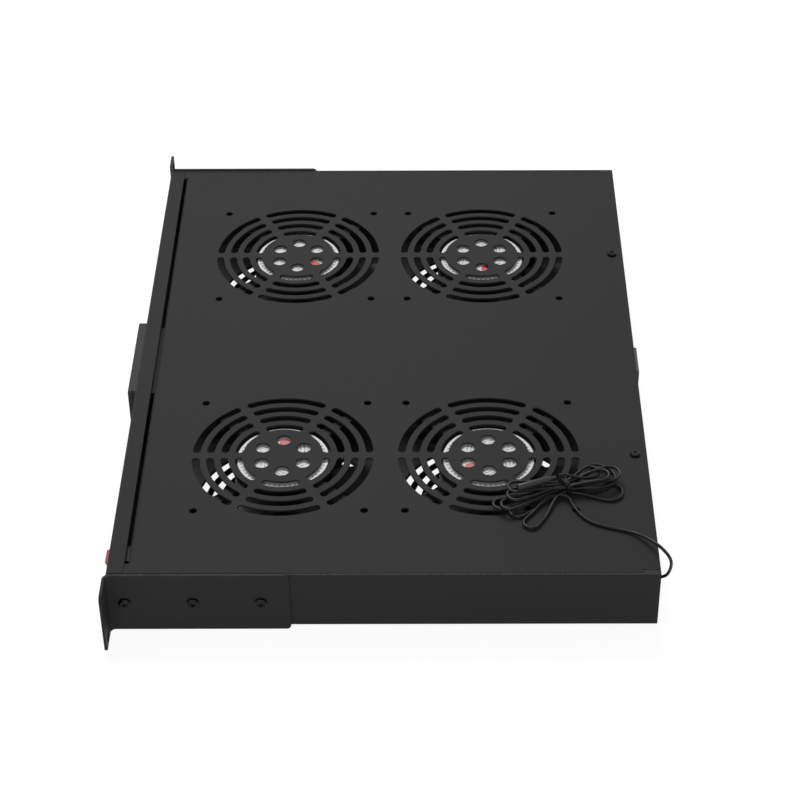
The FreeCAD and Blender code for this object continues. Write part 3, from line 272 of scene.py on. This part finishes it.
class Wire:
    """A value in a material's nodes. Arithmetic on it adds Math nodes."""

    def __init__(self, graph, socket):
        self.graph, self.socket = graph, socket

    def math(self, operation, *others):
        """A Math node on this value and any others."""
        return self.graph.node("Math", {"operation": operation}, dict(enumerate((self, *others))))

    def __add__(self, other):
        return self.math("ADD", other)

    def __sub__(self, other):
        return self.math("SUBTRACT", other)

    def __rsub__(self, other):
        return self.graph.node("Math", {"operation": "SUBTRACT"}, {0: other, 1: self})

    def __mul__(self, other):
        return self.math("MULTIPLY", other)

    def __abs__(self):
        return self.math("ABSOLUTE")

    def __pow__(self, other):
        return self.math("POWER", other)

    __radd__, __rmul__ = __add__, __mul__

    def step(self, low, high):
        """0 below low and 1 above high, smooth between; the other way round if low is above high."""
        if low > high:
            return 1 - self.step(high, low)
        return self.graph.node("MapRange", {"interpolation_type": "SMOOTHSTEP"},
                               {"Value": self, "From Min": low, "From Max": high})

    def near(self, place, width):
        """1 at a place, falling to 0 a width away."""
        return abs(self - place).step(width, 0.0)

    def between(self, low, high):
        """1 between two places, with soft edges."""
        soft = 0.1 * MM
        return self.step(low - soft, low + soft) * self.step(high + soft, high - soft)


class Tree:
    """A node tree that expressions add their nodes to."""

    def __init__(self, owner):
        owner.use_nodes = True
        self.tree = owner.node_tree

    def node(self, kind, settings=None, inputs=None, output=0):
        """Adds a node: settings first, then the values or links of its sockets."""
        made = self.tree.nodes.new("ShaderNode" + kind)
        for key, value in (settings or {}).items():
            setattr(made, key, value)
        for key, value in (inputs or {}).items():
            if isinstance(value, Wire):
                self.tree.links.new(value.socket, made.inputs[key])
            else:
                made.inputs[key].default_value = value
        return Wire(self, made.outputs[output]) if len(made.outputs) else None


class Graph(Tree):
    """A material built from expressions, ending in its Principled shader."""

    def __init__(self, name, metallic=0.0, coat=0.0, transmission=0.0, specular=0.5, ior=1.5):
        self.material = bpy.data.materials.new(name)
        super().__init__(self.material)
        self.shader = self.tree.nodes["Principled BSDF"]
        for key, value in (("Metallic", metallic), ("Coat Weight", coat), ("IOR", ior),
                           ("Transmission Weight", transmission), ("Specular IOR Level", specular)):
            self.shader.inputs[key].default_value = value
        self.place = self.node("TexCoord", output="Object")
        split = self.node("SeparateXYZ", {}, {0: self.place}).socket.node
        self.x, self.y, self.z = (Wire(self, split.outputs[axis]) for axis in "XYZ")

    def noise(self, size, detail=2.0, rough=0.5, stretch=None):
        """Noise from 0 to 1 with features of a given size in metres, stretched along the axes."""
        place = self.place
        if stretch:
            place = self.node("Mapping", {}, {"Vector": place, "Scale": stretch})
        return self.node("TexNoise", {}, {"Vector": place, "Scale": 1.0 / size, "Detail": detail,
                                          "Roughness": rough})

    def cells(self, size):
        """Distance to the nearest point of a scattered set, in cells."""
        return self.node("TexVoronoi", {}, {"Vector": self.place, "Scale": 1.0 / size}, "Distance")

    def mix(self, share, first, second):
        """A colour between two colours."""
        colours = [c if isinstance(c, Wire) else (*c, 1.0) for c in (first, second)]
        return self.node("Mix", {"data_type": "RGBA"}, {0: share, 6: colours[0], 7: colours[1]}, 2)

    def finish(self, colour, roughness, height=None, depth=0.0, metallic=None, glow=None):
        """Joins colour, roughness and a bump of some depth in metres to the shader."""
        fed = {"Base Color": colour, "Roughness": roughness, "Metallic": metallic, "Emission Color": glow}
        if height is not None:
            fed["Normal"] = self.node("Bump", {}, {"Height": height, "Distance": depth})
        for key, value in fed.items():
            if isinstance(value, Wire):
                self.tree.links.new(value.socket, self.shader.inputs[key])
            elif value is not None:
                plain = (*value, 1.0) if isinstance(value, tuple) else value
                self.shader.inputs[key].default_value = plain
        return self.material


def scaled(colour, factor):
    """A darker or brighter tone of a colour."""
    return tuple(value * factor for value in colour)


# ---------------------------------------------------------------- finishes

COAT_BLACK = (0.027, 0.027, 0.0268)
COAT_DUST = (0.16, 0.16, 0.155)
# Pale coat tone: painted highlight on edges, and the ground welds' own paler finish
COAT_HIGHLIGHT_AND_WELD = (0.085, 0.083, 0.074)
PLASTIC_BLACK = (0.014, 0.014, 0.0145)
HALF_WIDTH, BODY_DEPTH, TOP_Z = tray_high
SHEET = 1.2 * MM
WELD_WIDTH, WELD_LENGTH = 3.3 * MM, 10.5 * MM    # of the ground weld at each rear corner
COVER_FOLD = 1.6 * MM                            # from the cover's front edge to the middle of its bend


def fan_centers():
    """The four fans' axes, from their frames' boxes."""
    boxes = [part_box(f"fan_{number}_frame") for number in range(1, 5)]
    return [((low.x + high.x) / 2, (low.y + high.y) / 2) for low, high in boxes]


FAN_CENTERS = fan_centers()
FAN_PITCH = np.subtract(FAN_CENTERS[3], FAN_CENTERS[0])
FANS_MIDDLE_Y = (FAN_CENTERS[0][1] + FAN_CENTERS[2][1]) / 2


def powder_coat(name, edge_highlight_and_weld):
    """Black powder coat: a fine orange-peel skin, faint clouding and dust, and painted highlights along
    edges.

    The second argument is a function of the graph. It gives a mask of the edges that get a painted
    highlight, standing in for light caught by rounded sheet, and of any pale ground weld.
    """
    g = Graph(name, specular=0.06)
    cloud = g.noise(0.11, 3.0)
    grain = g.noise(0.0009, 2.0)
    peel = g.noise(0.0022, 1.0)
    dust = g.cells(0.009).step(0.055, 0.02) * g.noise(0.02).step(0.55, 0.7)
    tone = g.mix(cloud * 0.5 + grain * 0.5, scaled(COAT_BLACK, 0.88), scaled(COAT_BLACK, 1.14))
    dusty = g.mix(dust * 0.5, tone, COAT_DUST)
    # Pale edges: painted highlight where the mask marks a rounded edge, and the weld's own paler tone where
    # it marks a weld
    edge = edge_highlight_and_weld(g) * g.noise(0.0016, 2.0).step(0.25, 0.75)
    colour = g.mix(edge * 0.75, dusty, COAT_HIGHLIGHT_AND_WELD)
    rough = 0.5 + cloud * 0.08 + grain * 0.06
    return g.finish(colour, rough, peel * 0.7 + grain * 0.3, 0.00006)


def tray_edges(g):
    """Painted highlights on the side walls' upper edges and the front's bend, where rounded sheet would
    catch the light, and the rough weld at the rear corners, which is paler of itself.
    """
    inner_x, weld_x, weld_y = HALF_WIDTH - SHEET, HALF_WIDTH - WELD_WIDTH, BODY_DEPTH - WELD_LENGTH
    top = g.z.step(TOP_Z - 0.4 * MM, TOP_Z)
    # painted highlight along the walls' top edges and along the front bend
    wall = abs(g.x).step(inner_x - 0.1 * MM, inner_x + 0.1 * MM) * top
    bend = g.y.near(0.4 * MM, 0.9 * MM) * g.z.step(TOP_Z - MM, TOP_Z)
    weld = abs(g.x).step(weld_x - 0.3 * MM, weld_x + 0.3 * MM)
    weld = weld * g.y.step(weld_y - MM, weld_y + MM) * top
    return (wall * 0.9 + bend * 0.6 + weld * 0.8).math("MINIMUM", 1.0)


def cover_edges(g):
    """Painted highlight along the turned-down front edge of the cover, where its bend would catch the light.
    """
    cover_low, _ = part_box("top_cover")
    return g.y.near(cover_low.y + COVER_FOLD, SHEET) * 0.35


def ear_edges(g):
    """Painted highlights along the ears' long edges, where their rounded edges would catch the light."""
    ear_low, ear_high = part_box("rack_ear_right")
    return g.z.near(ear_high.z, 0.6 * MM) * 0.5 + g.z.near(ear_low.z, 0.5 * MM) * 0.4


def plain_metal(name, colour, rough, tint=None):
    """Plated or turned metal with a fine grain and clouded plating, which may have a tint."""
    g = Graph(name, metallic=1.0)
    cloud = g.noise(0.004, 3.0)
    fine = g.noise(0.0006, 2.0)
    shade = g.mix(cloud, scaled(colour, 0.75), tint or scaled(colour, 1.15))
    return g.finish(shade, rough + cloud * 0.12 + fine * 0.06, fine, 0.00003)


def moulded(name, colour, rough, grain=0.0005, depth=0.00003, specular=0.5):
    """Moulded plastic, rubber or enamel with a spark-eroded grain and slight clouding."""
    g = Graph(name, specular=specular)
    fine = g.noise(grain, 3.0, 0.6)
    cloud = g.noise(0.018, 2.0)
    shade = g.mix(cloud * 0.6 + fine * 0.4, scaled(colour, 0.82), scaled(colour, 1.2))
    return g.finish(shade, rough + fine * 0.08 + cloud * 0.06, fine, depth)


def fan_local(g):
    """From the nearest fan's axis: distances along X and Y, positive outwards, and the radius."""
    across = abs(g.x) - float(FAN_PITCH[0]) / 2
    depth = abs(g.y - FANS_MIDDLE_Y) - float(FAN_PITCH[1]) / 2
    radius = (across * across + depth * depth).math("SQRT")
    return across, depth, radius


RED_DOTS = np.array(((8.5, 12.0), (-14.5, 1.0), (14.0, 3.5), (9.0, -11.0))) * MM    # from each fan's axis
RED_DOT_R = 4.0 * MM
STROKE_RING, STROKE_COUNT = (26.2 * MM, 27.4 * MM), 52.0    # radii and number of the label's short strokes
DIAL_RING, DIAL_COUNT, DIAL_SLANT = (11.2 * MM, 17.8 * MM), 20.0, 2400.0    # of its slanting ones


def label_foil():
    """Silvered foil disc with a plain dial of short strokes and one red dot on each fan."""
    g = Graph("label_foil", specular=0.5)
    across, depth, radius = fan_local(g)
    angle = depth.math("ARCTAN2", across)
    strokes = (angle * STROKE_COUNT).math("SINE").step(0.1, 0.5) * radius.between(*STROKE_RING)
    inner = (angle * DIAL_COUNT + radius * DIAL_SLANT).math("SINE").step(0.35, 0.75)
    inner = inner * radius.between(*DIAL_RING) * g.noise(0.003).step(0.42, 0.55)
    dots = 0.0
    for x, y in np.add(FAN_CENTERS, RED_DOTS).tolist():
        away = ((g.x - x) ** 2.0 + (g.y - y) ** 2.0).math("SQRT")
        dots = dots + away.step(RED_DOT_R + 0.1 * MM, RED_DOT_R - 0.2 * MM)
    silver = g.mix(g.noise(0.006, 3.0), (0.55, 0.56, 0.57), (0.74, 0.75, 0.76))
    printed = g.mix((strokes + inner).math("MINIMUM", 1.0) * 0.85, silver, (0.05, 0.05, 0.055))
    colour = g.mix(dots, printed, (0.55, 0.03, 0.025))
    return g.finish(colour, 0.42, g.noise(0.002, 2.0), 0.00002)


LEAF_PITCH = 0.7 * MM                   # of the laminations, drawn coarser than real ones
WINDING_RING = (14.8 * MM, 21.2 * MM)   # inner and outer radius of the coils
COIL_HALF = 5.0 * MM                    # half a coil's height


def laminated_core():
    """Stacked steel laminations with copper winding between the poles."""
    g = Graph("stator_steel")
    _, _, radius = fan_local(g)
    low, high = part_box("fan_1_stator")
    leaves = (g.z * (2 * math.pi / LEAF_PITCH)).math("SINE").step(-0.2, 0.6)
    middle = (low.z + high.z) / 2
    coil = abs(g.z - middle).step(COIL_HALF + 0.2 * MM, COIL_HALF - 0.2 * MM)
    copper = radius.between(*WINDING_RING) * coil
    steel = g.mix(leaves, (0.09, 0.09, 0.1), (0.32, 0.32, 0.34))
    colour = g.mix(copper, steel, (0.5, 0.17, 0.06))
    return g.finish(colour, 0.42 + leaves * 0.1, leaves, 0.00008, metallic=0.9)


BLOCK_PROUD = 2.0 * MM                  # a fan's terminal block stands this far out of its frame
STRIP_CLEARANCE = 9.0 * MM              # behind the thermostat's strip only the fans' blocks are left


def terminal_block():
    """Black nylon blocks; the fans' have tinned spades, which reach inwards from the blocks' faces."""
    g = Graph("terminal_plastic")
    behind_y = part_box("thermostat_terminals")[1].y + STRIP_CLEARANCE
    face_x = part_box("fan_2_frame")[0].x - BLOCK_PROUD
    fan_side = g.y.step(behind_y, behind_y + 0.2 * MM)
    tinned = abs(g.x).step(face_x + 0.1 * MM, face_x - 0.1 * MM) * fan_side
    nylon = g.mix(g.noise(0.002), (0.022, 0.022, 0.022), (0.034, 0.034, 0.035))
    return g.finish(g.mix(tinned, nylon, (0.62, 0.61, 0.58)), 0.5 - tinned * 0.2, g.noise(0.0006),
                    0.00004, metallic=tinned)


BOARD_FRONT_Y, BOARD_THICKNESS = 6.0 * MM, 1.6 * MM


def circuit_board():
    """Green board with a dark display block and key switches in front, and a blue relay behind."""
    g = Graph("board_green")
    _, window_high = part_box("thermostat_window")
    back_y = BOARD_FRONT_Y + BOARD_THICKNESS
    front = g.y.step(BOARD_FRONT_Y, BOARD_FRONT_Y - 0.2 * MM)
    display = front * g.x.step(window_high.x - 0.8 * MM, window_high.x - MM)
    relay = g.y.step(back_y, back_y + 0.2 * MM)
    tracks = g.noise(0.0016, 0.0).step(0.47, 0.5) * g.noise(0.0016, 0.0).step(0.56, 0.53)
    board = g.mix(tracks, (0.012, 0.10, 0.035), (0.03, 0.19, 0.07))
    colour = g.mix(front, board, (0.03, 0.03, 0.032))
    colour = g.mix(display, colour, (0.02, 0.018, 0.018))
    colour = g.mix(relay, colour, (0.03, 0.09, 0.32))
    return g.finish(colour, 0.38, tracks, 0.00003)


TRUNK_X, TRUNK_R = 2.0 * MM, 4.0 * MM
BRAID_TURNS = 2600.0                    # radians of the sleeve's braid for each metre, both ways


def wire_colours():
    """A black sleeved trunk with brown and blue branch wires, one each side of a fan's axis."""
    g = Graph("wire_insulation")
    _, depth_from_fan, _ = fan_local(g)
    trunk = abs(g.x - TRUNK_X).step(TRUNK_R + 0.1 * MM, TRUNK_R - 0.2 * MM)
    outward = (g.y - FANS_MIDDLE_Y).step(-0.2 * MM, 0.2 * MM) * 2.0 - 1.0
    brown = (depth_from_fan * outward).step(-0.2 * MM, 0.2 * MM)
    braid = ((g.y * BRAID_TURNS).math("SINE") * (g.x * BRAID_TURNS).math("SINE")).step(-0.3, 0.3)
    branch = g.mix(brown, (0.02, 0.10, 0.42), (0.17, 0.065, 0.03))
    sleeve = g.mix(braid, (0.012, 0.012, 0.012), (0.035, 0.035, 0.036))
    return g.finish(g.mix(trunk, branch, sleeve), 0.42 + trunk * 0.2, braid * trunk, 0.0002)


def tinted_window():
    """Smoked red acrylic, polished, with a few fine scratches."""
    g = Graph("display_window", transmission=1.0, ior=1.49)
    scratch = g.noise(0.003, 2.0, stretch=(1.0, 1.0, 0.08)).step(0.62, 0.7)
    colour = g.mix(g.noise(0.01), (0.42, 0.03, 0.03), (0.48, 0.04, 0.035))
    return g.finish(colour, 0.03 + scratch * 0.08)


def lit_red(name, colour, glow):
    """Moulded translucent red with an even inner glow."""
    g = Graph(name, coat=0.35)
    g.shader.inputs["Emission Strength"].default_value = glow
    fine = g.noise(0.0007, 2.0)
    shade = g.mix(fine, scaled(colour, 0.88), scaled(colour, 1.08))
    return g.finish(shade, 0.24 + fine * 0.06, fine, 0.00001, glow=g.mix(fine, colour, colour))


def lead_sheath():
    """Soft black sheath: smooth and slightly shiny, with fine scuffs and dust."""
    g = Graph("lead_black", specular=0.16)
    scuff = g.noise(0.003, 3.0, 0.6).step(0.62, 0.8)
    cloud = g.noise(0.012, 2.0)
    shade = g.mix(scuff * 0.3 + cloud * 0.25, (0.006, 0.006, 0.0062), (0.035, 0.035, 0.035))
    return g.finish(shade, 0.22 + cloud * 0.06 + scuff * 0.08, g.noise(0.002, 2.0), 0.00001)


def paint(material, *names):
    """Gives CAD nodes their finish."""
    for name in names:
        data = nodes[name].data
        data.materials.clear()
        data.materials.append(material)


def per_fan(kind):
    """The names of the four fans' nodes of one kind."""
    return [f"fan_{number}_{kind}" for number in range(1, 5)]


lead_material = lead_sheath()
paint(powder_coat("steel_black_tray", tray_edges), "base_tray")
paint(powder_coat("steel_black_cover", cover_edges), "top_cover")
paint(powder_coat("steel_black_ears", ear_edges), "rack_ear_right", "rack_ear_left")
paint(plain_metal("screw_black", (0.018, 0.018, 0.019), 0.2), "cover_screws", "ear_screws",
      "fan_screws")
paint(plain_metal("zinc", (0.50, 0.50, 0.48), 0.32, tint=(0.60, 0.58, 0.48)), "cover_nuts",
      "ear_nuts", "fan_nuts", "earth_stud", "earth_nut")
paint(moulded("fan_casting", (0.010, 0.010, 0.0105), 0.46, 0.0011, depth=0.00012, specular=0.12),
      *per_fan("frame"))
paint(moulded("fan_plastic", (0.006, 0.006, 0.0065), 0.34, 0.0006, specular=0.16), *per_fan("rotor"))
paint(laminated_core(), *per_fan("stator"))
paint(plain_metal("shaft_steel", (0.52, 0.52, 0.54), 0.2), *per_fan("shaft"), "fan_bearings")
paint(label_foil(), "fan_labels")
paint(terminal_block(), "fan_terminals", "thermostat_terminals")
paint(moulded("bezel_plastic", (0.024, 0.024, 0.025), 0.42, 0.0004, specular=0.13),
      "thermostat_housing")
paint(tinted_window(), "thermostat_window")
paint(circuit_board(), "thermostat_board")
paint(moulded("clip_plastic", (0.03, 0.03, 0.03), 0.45), "thermostat_clips")
paint(moulded("button_plastic", (0.12, 0.125, 0.13), 0.5), "button_set", "button_up",
      "button_power", "button_down")
paint(moulded("switch_black", PLASTIC_BLACK, 0.28), "switch_housing")
paint(lit_red("rocker_red", (0.36, 0.012, 0.014), 0.08), "switch_rocker")
paint(plain_metal("brass", (0.78, 0.57, 0.25), 0.26), "switch_spades", "inlet_pins")
paint(moulded("inlet_black", PLASTIC_BLACK, 0.34), "inlet_housing")
paint(wire_colours(), "wiring_loom")
paint(moulded("rubber_black", (0.011, 0.011, 0.011), 0.6, 0.0007), "grommet")


# ---------------------------------------------------------------- added pieces

lead = make_lead(lead_material)

# The tie and the probe are in millimetres, as the lead is
TIE_STRAND_R, TIE_CORNER_R = 0.6, 3.0
TIE_HALF_WIDTH, TIE_HALF_HEIGHT, TIE_MIDDLE_Z = 5.6, 4.5, 26.2
TIE_TURNS = ((-0.5, 1.28), (0.9, 1.04))    # each turn's place along the hank, and its sides' slant


def make_tie():
    """The tie: a round strand wound twice round the hank's waist, each turn a rounded rectangle.

    For t round the hank, a turn's middle line is the point (cosine of t, sine of t) enlarged 1.6 times the
    half sizes and held inside the rectangle less its corner radius, plus the corner radius times (cosine
    of t, sine of t). Its place along the hank grows across it by its slant. The strand's skin is a circle
    about that line, in the plane of the outward direction and the hank's length.
    """
    t = np.linspace(0.0, 2 * math.pi, 96, endpoint=False)
    ring = np.linspace(0.0, 2 * math.pi, 12, endpoint=False)
    outward = np.column_stack([np.cos(t), np.sin(t)])
    half = np.array((TIE_HALF_WIDTH, TIE_HALF_HEIGHT))
    line = np.clip(half * 1.6 * outward, TIE_CORNER_R - half, half - TIE_CORNER_R) + TIE_CORNER_R * outward
    skin = line[:, None, :] + outward[:, None, :] * np.cos(ring)[None, :, None] * TIE_STRAND_R
    pieces = []
    for place, slant in TIE_TURNS:
        middle = place + slant * line[:, 0] / TIE_HALF_WIDTH
        along = middle[:, None] + np.sin(ring)[None, :] * TIE_STRAND_R
        x, y, z = hank_point(along, skin[:, :, 0], TIE_MIDDLE_Z + skin[:, :, 1])
        pieces.append(np.stack([x, y, z], axis=-1).reshape(-1, 3) * MM)
    faces = ring_strip(len(t), len(ring), closed=True)
    both = np.concatenate([faces, faces + len(pieces[0])]).tolist()
    made = mesh_piece("hank_tie", np.concatenate(pieces), both, "tray", lead_material)
    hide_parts("cable_tie")
    return made


PROBE_R, PROBE_GROOVE_R = 2.2, 1.8
PROBE_WAY = math.radians(112.0)            # direction in which the probe points, tip to lead
PROBE_PROFILE = (                          # distance from the tip, and radius
    (0.0, 0.0), (0.0, 1.55), (0.25, 1.95), (0.8, PROBE_R), (17.9, PROBE_R),
    (18.1, PROBE_GROOVE_R), (18.5, PROBE_GROOVE_R), (18.7, PROBE_R), (19.4, PROBE_R),
    (19.6, PROBE_GROOVE_R), (20.0, PROBE_GROOVE_R), (20.2, 2.1), (20.7, 1.95),
    (21.3, 1.4), (25.5, 1.2), (25.5, 0.0),
)


def make_probe():
    """The temperature probe: a turned body with two grooves and a tapered end for the lead."""
    low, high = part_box("sensor_probe")
    radius = PROBE_R * MM
    along = np.array((math.cos(PROBE_WAY), math.sin(PROBE_WAY), 0.0))
    aside = np.array((-math.sin(PROBE_WAY), math.cos(PROBE_WAY), 0.0))
    tip = np.array((high.x - radius * abs(aside[0]), low.y + radius * abs(aside[1]), high.z - radius))
    points, faces = turned(np.array(PROBE_PROFILE) * MM, tip, along, aside, np.array((0.0, 0.0, 1.0)), 40)
    rubber = moulded("probe_rubber", (0.024, 0.024, 0.025), 0.34, 0.0009, specular=0.3)
    made = mesh_piece("lead_probe", points, faces, "tray", rubber)
    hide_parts("sensor_probe")
    return made


tie = make_tie()
probe = make_probe()


def segment(start, end, width):
    """A bar of a digit between two points, as a six-cornered outline with pointed ends.

    Its four long-side corners are half a width in from the ends, and half a width to either side.
    """
    way = (end - start) / np.linalg.norm(end - start)
    side = np.array((-way[1], way[0])) * width / 2
    tip = way * width / 2
    return np.array((start, start + tip + side, end - tip + side, end, end - tip - side, start + tip - side))


# Each bar's ends, in digit widths and half heights from the digit's lower left corner
SEGMENT_ENDS = {"a": ((0, 2), (1, 2)), "b": ((1, 2), (1, 1)), "c": ((1, 1), (1, 0)), "d": ((0, 0), (1, 0)),
                "e": ((0, 1), (0, 0)), "f": ((0, 2), (0, 1)), "g": ((0, 1), (1, 1))}
DIGITS = {"2": "abged", "6": "afgedc", "5": "afgcd"}
DIGIT_SIZE = np.array((5.2, 5.6)) * MM     # width, and half the height
DIGIT_PITCH, DIGIT_BAR = 9.2 * MM, 1.0 * MM
POINT_R = 0.6 * MM
DIGIT_INSET, DIGIT_THICKNESS = 0.15 * MM, 0.05 * MM    # inside the pane from its rear face


def display_digits():
    """Three glowing digits and a point in front of the display block, seen through the window.

    The point's corner is its middle plus its radius times (cosine of t, sine of t).
    """
    g = Graph("display_digits")
    g.shader.inputs["Emission Strength"].default_value = 2.2
    bright = g.noise(0.0006, 1.0)
    material = g.finish((0.4, 0.02, 0.01), 0.5, glow=g.mix(bright, (1.0, 0.07, 0.03), (1.0, 0.12, 0.06)))
    low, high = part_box("thermostat_window")
    middle = np.array((low.x + high.x, low.z + high.z)) / 2
    outlines = []
    for place, digit in zip((-1, 0, 1), "265"):
        corner = middle + (place * DIGIT_PITCH - DIGIT_SIZE[0] / 2, -DIGIT_SIZE[1])
        for name in DIGITS[digit]:
            outlines.append(segment(*(corner + np.array(SEGMENT_ENDS[name]) * DIGIT_SIZE), DIGIT_BAR))
    t = np.linspace(0, 2 * math.pi, 12, endpoint=False)
    spot = middle + (DIGIT_PITCH / 2, -DIGIT_SIZE[1])
    outlines.append(spot + POINT_R * np.column_stack([np.cos(t), np.sin(t)]))
    face_y = high.y - DIGIT_INSET
    points, faces = joined(slab(outline, face_y, face_y - DIGIT_THICKNESS) for outline in outlines)
    return mesh_piece("display_digits", points[:, (0, 2, 1)], faces, "tray", material, smooth=False)


PRINT_SUNK, PRINT_PROUD = 0.02 * MM, 0.03 * MM    # a printed sign's depth into its face, and out of it


def key_mark(name, outlines, material):
    """A printed sign on a key's face, from outlines in millimetres about the face's middle."""
    low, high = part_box(f"button_{name}")
    middle = ((low.x + high.x) / 2, (low.z + high.z) / 2)
    points, faces = joined(slab(np.array(outline) * MM + middle, low.y + PRINT_SUNK, low.y - PRINT_PROUD)
                           for outline in outlines)
    return mesh_piece(f"mark_{name}", points[:, (0, 2, 1)], faces, f"key_{name}", material, smooth=False)


def rocker_mark(name, outlines, middle, tilt, material):
    """A printed sign on one of the rocker's two facets, which leans back by tilt radians.

    A point is the facet's middle plus its X, its height up the facet and its depth out of the facet.
    """
    axes = np.array(((1.0, 0.0, 0.0), (0.0, -math.sin(tilt), math.cos(tilt)),
                     (0.0, -math.cos(tilt), -math.sin(tilt))))
    points, faces = joined(slab(np.array(outline) * MM, -PRINT_SUNK, PRINT_PROUD) for outline in outlines)
    return mesh_piece(name, middle + points @ axes, faces, "rocker", material, smooth=False)


def bar_outline(width, height, middle=(0.0, 0.0)):
    """A rectangle's corners about its middle."""
    corners = np.array(((-0.5, -0.5), (0.5, -0.5), (0.5, 0.5), (-0.5, 0.5)))
    return corners * (width, height) + middle


def ring_outlines(radius, width, start, end, count):
    """A ring, or part of one between two angles in degrees, as a row of short quads.

    A corner is the inner or outer radius times (cosine of t, sine of t).
    """
    t = np.radians(np.linspace(start, end, count))
    around = np.column_stack([np.cos(t), np.sin(t)])
    inner, outer = around * (radius - width / 2), around * (radius + width / 2)
    return np.stack([inner[:-1], outer[:-1], outer[1:], inner[1:]], axis=1)


ROCKER_TILT = math.radians(20.0)           # of the upper facet at rest
FACET_HEIGHT, ROCKER_BROW = 8.32 * MM, 1.36 * MM    # the brow is the rounded top above the upper facet
SIGN_R = 1.3                               # of the round signs' middle line, in millimetres


def make_marks():
    """Bars on the set key, arrows on up and down, the usual signs on power and on the rocker."""
    print_white = moulded("print_white", (0.62, 0.62, 0.60), 0.5)
    key_mark("set", [bar_outline(3.0, 0.4, (0.0, z)) for z in (-1.0, 0.0, 1.0)], print_white)
    key_mark("up", [[(-1.5, -0.9), (1.5, -0.9), (0.0, 1.3)]], print_white)
    key_mark("down", [[(-1.5, 0.9), (0.0, -1.3), (1.5, 0.9)]], print_white)
    stroke = bar_outline(0.4, 1.5, (0.0, 0.85))
    key_mark("power", [*ring_outlines(SIGN_R, 0.4, 120, 420, 14), stroke], print_white)
    low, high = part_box("switch_rocker")
    x, brow_z = (low.x + high.x) / 2, high.z - ROCKER_BROW
    ridge_y = low.y + FACET_HEIGHT * math.sin(ROCKER_TILT)
    ridge_z = brow_z - FACET_HEIGHT * math.cos(ROCKER_TILT)
    upper = np.array((x, (low.y + ridge_y) / 2, (brow_z + ridge_z) / 2))
    lower = np.array((x, ridge_y, ridge_z - FACET_HEIGHT / 2))
    rocker_mark("mark_on", [bar_outline(0.5, 2.8)], upper, ROCKER_TILT, print_white)
    rocker_mark("mark_off", ring_outlines(SIGN_R, 0.5, 0, 360, 25), lower, 0.0, print_white)


display_digits()
make_marks()


# ---------------------------------------------------------------- floor and light

TRAY_MIDDLE = (0.0, 0.16, 0.0)


def area_light(name, place, size, power):
    """A square soft box that faces the tray."""
    data = bpy.data.lights.new(name, "AREA")
    data.shape = "RECTANGLE"
    data.size = data.size_y = size
    data.energy = power
    light = bpy.data.objects.new(name, data)
    light.location = place
    light.rotation_mode = "QUATERNION"
    light.rotation_quaternion = (Vector(TRAY_MIDDLE) - Vector(place)).to_track_quat("-Z", "Y")
    bpy.context.scene.collection.objects.link(light)


def seen_directly(g):
    """1 for rays from the camera, also through glass and off gloss, and 0 for the light on the object."""
    rays = [g.node("LightPath", output=f"Is {kind} Ray") for kind in ("Camera", "Glossy", "Transmission")]
    return rays[0].math("MAXIMUM", rays[1]).math("MAXIMUM", rays[2])


WHITE = (1.0, 1.0, 1.0, 1.0)


def make_floor():
    """A wide pale floor under the tray. Seen directly it is nearly white and keeps a soft shadow.

    It is clear from below, so the underside can be looked at.
    """
    reach, z = 6.0, cad_box[0][2]
    corners = bar_outline(2 * reach, 2 * reach)
    data = bpy.data.meshes.new("floor")
    data.from_pydata([(x, y, z) for x, y in corners.tolist()], [], [(0, 1, 2, 3)])
    floor = bpy.data.objects.new("floor", data)
    bpy.context.scene.collection.objects.link(floor)
    material = bpy.data.materials.new("floor")
    g = Tree(material)
    g.tree.nodes.clear()
    seen = seen_directly(g)
    plain = g.node("BsdfDiffuse", {}, {"Color": (0.8, 0.8, 0.8, 1.0)})
    shadowed = g.node("BsdfDiffuse", {}, {"Color": (0.22, 0.22, 0.22, 1.0)})
    glow = g.node("Emission", {}, {"Color": WHITE, "Strength": 0.9})
    lit = g.node("AddShader", {}, {0: shadowed, 1: glow})
    above = g.node("MixShader", {}, {0: seen, 1: plain, 2: lit})
    below = g.node("BsdfTransparent")
    from_below = g.node("NewGeometry", output="Backfacing")
    g.node("OutputMaterial", {}, {"Surface": g.node("MixShader", {}, {0: from_below, 1: above, 2: below})})
    data.materials.append(material)


def make_world():
    """Even pale surroundings, white where the camera looks straight at them."""
    world = bpy.data.worlds.new("world")
    g = Tree(world)
    g.tree.nodes.clear()
    seen = seen_directly(g)
    lighting = g.node("Background", {}, {"Color": WHITE, "Strength": 0.27})
    backdrop = g.node("Background", {}, {"Color": WHITE, "Strength": 1.0})
    g.node("OutputWorld", {}, {"Surface": g.node("MixShader", {}, {0: seen, 1: lighting, 2: backdrop})})
    bpy.context.scene.world = world


make_floor()
make_world()
area_light("overhead", (-0.85, 0.02, 1.25), 0.7, 16.0)
area_light("near_side", (1.7, 0.0, 0.5), 1.0, 9.0)
bpy.context.scene.view_settings.view_transform = "Standard"
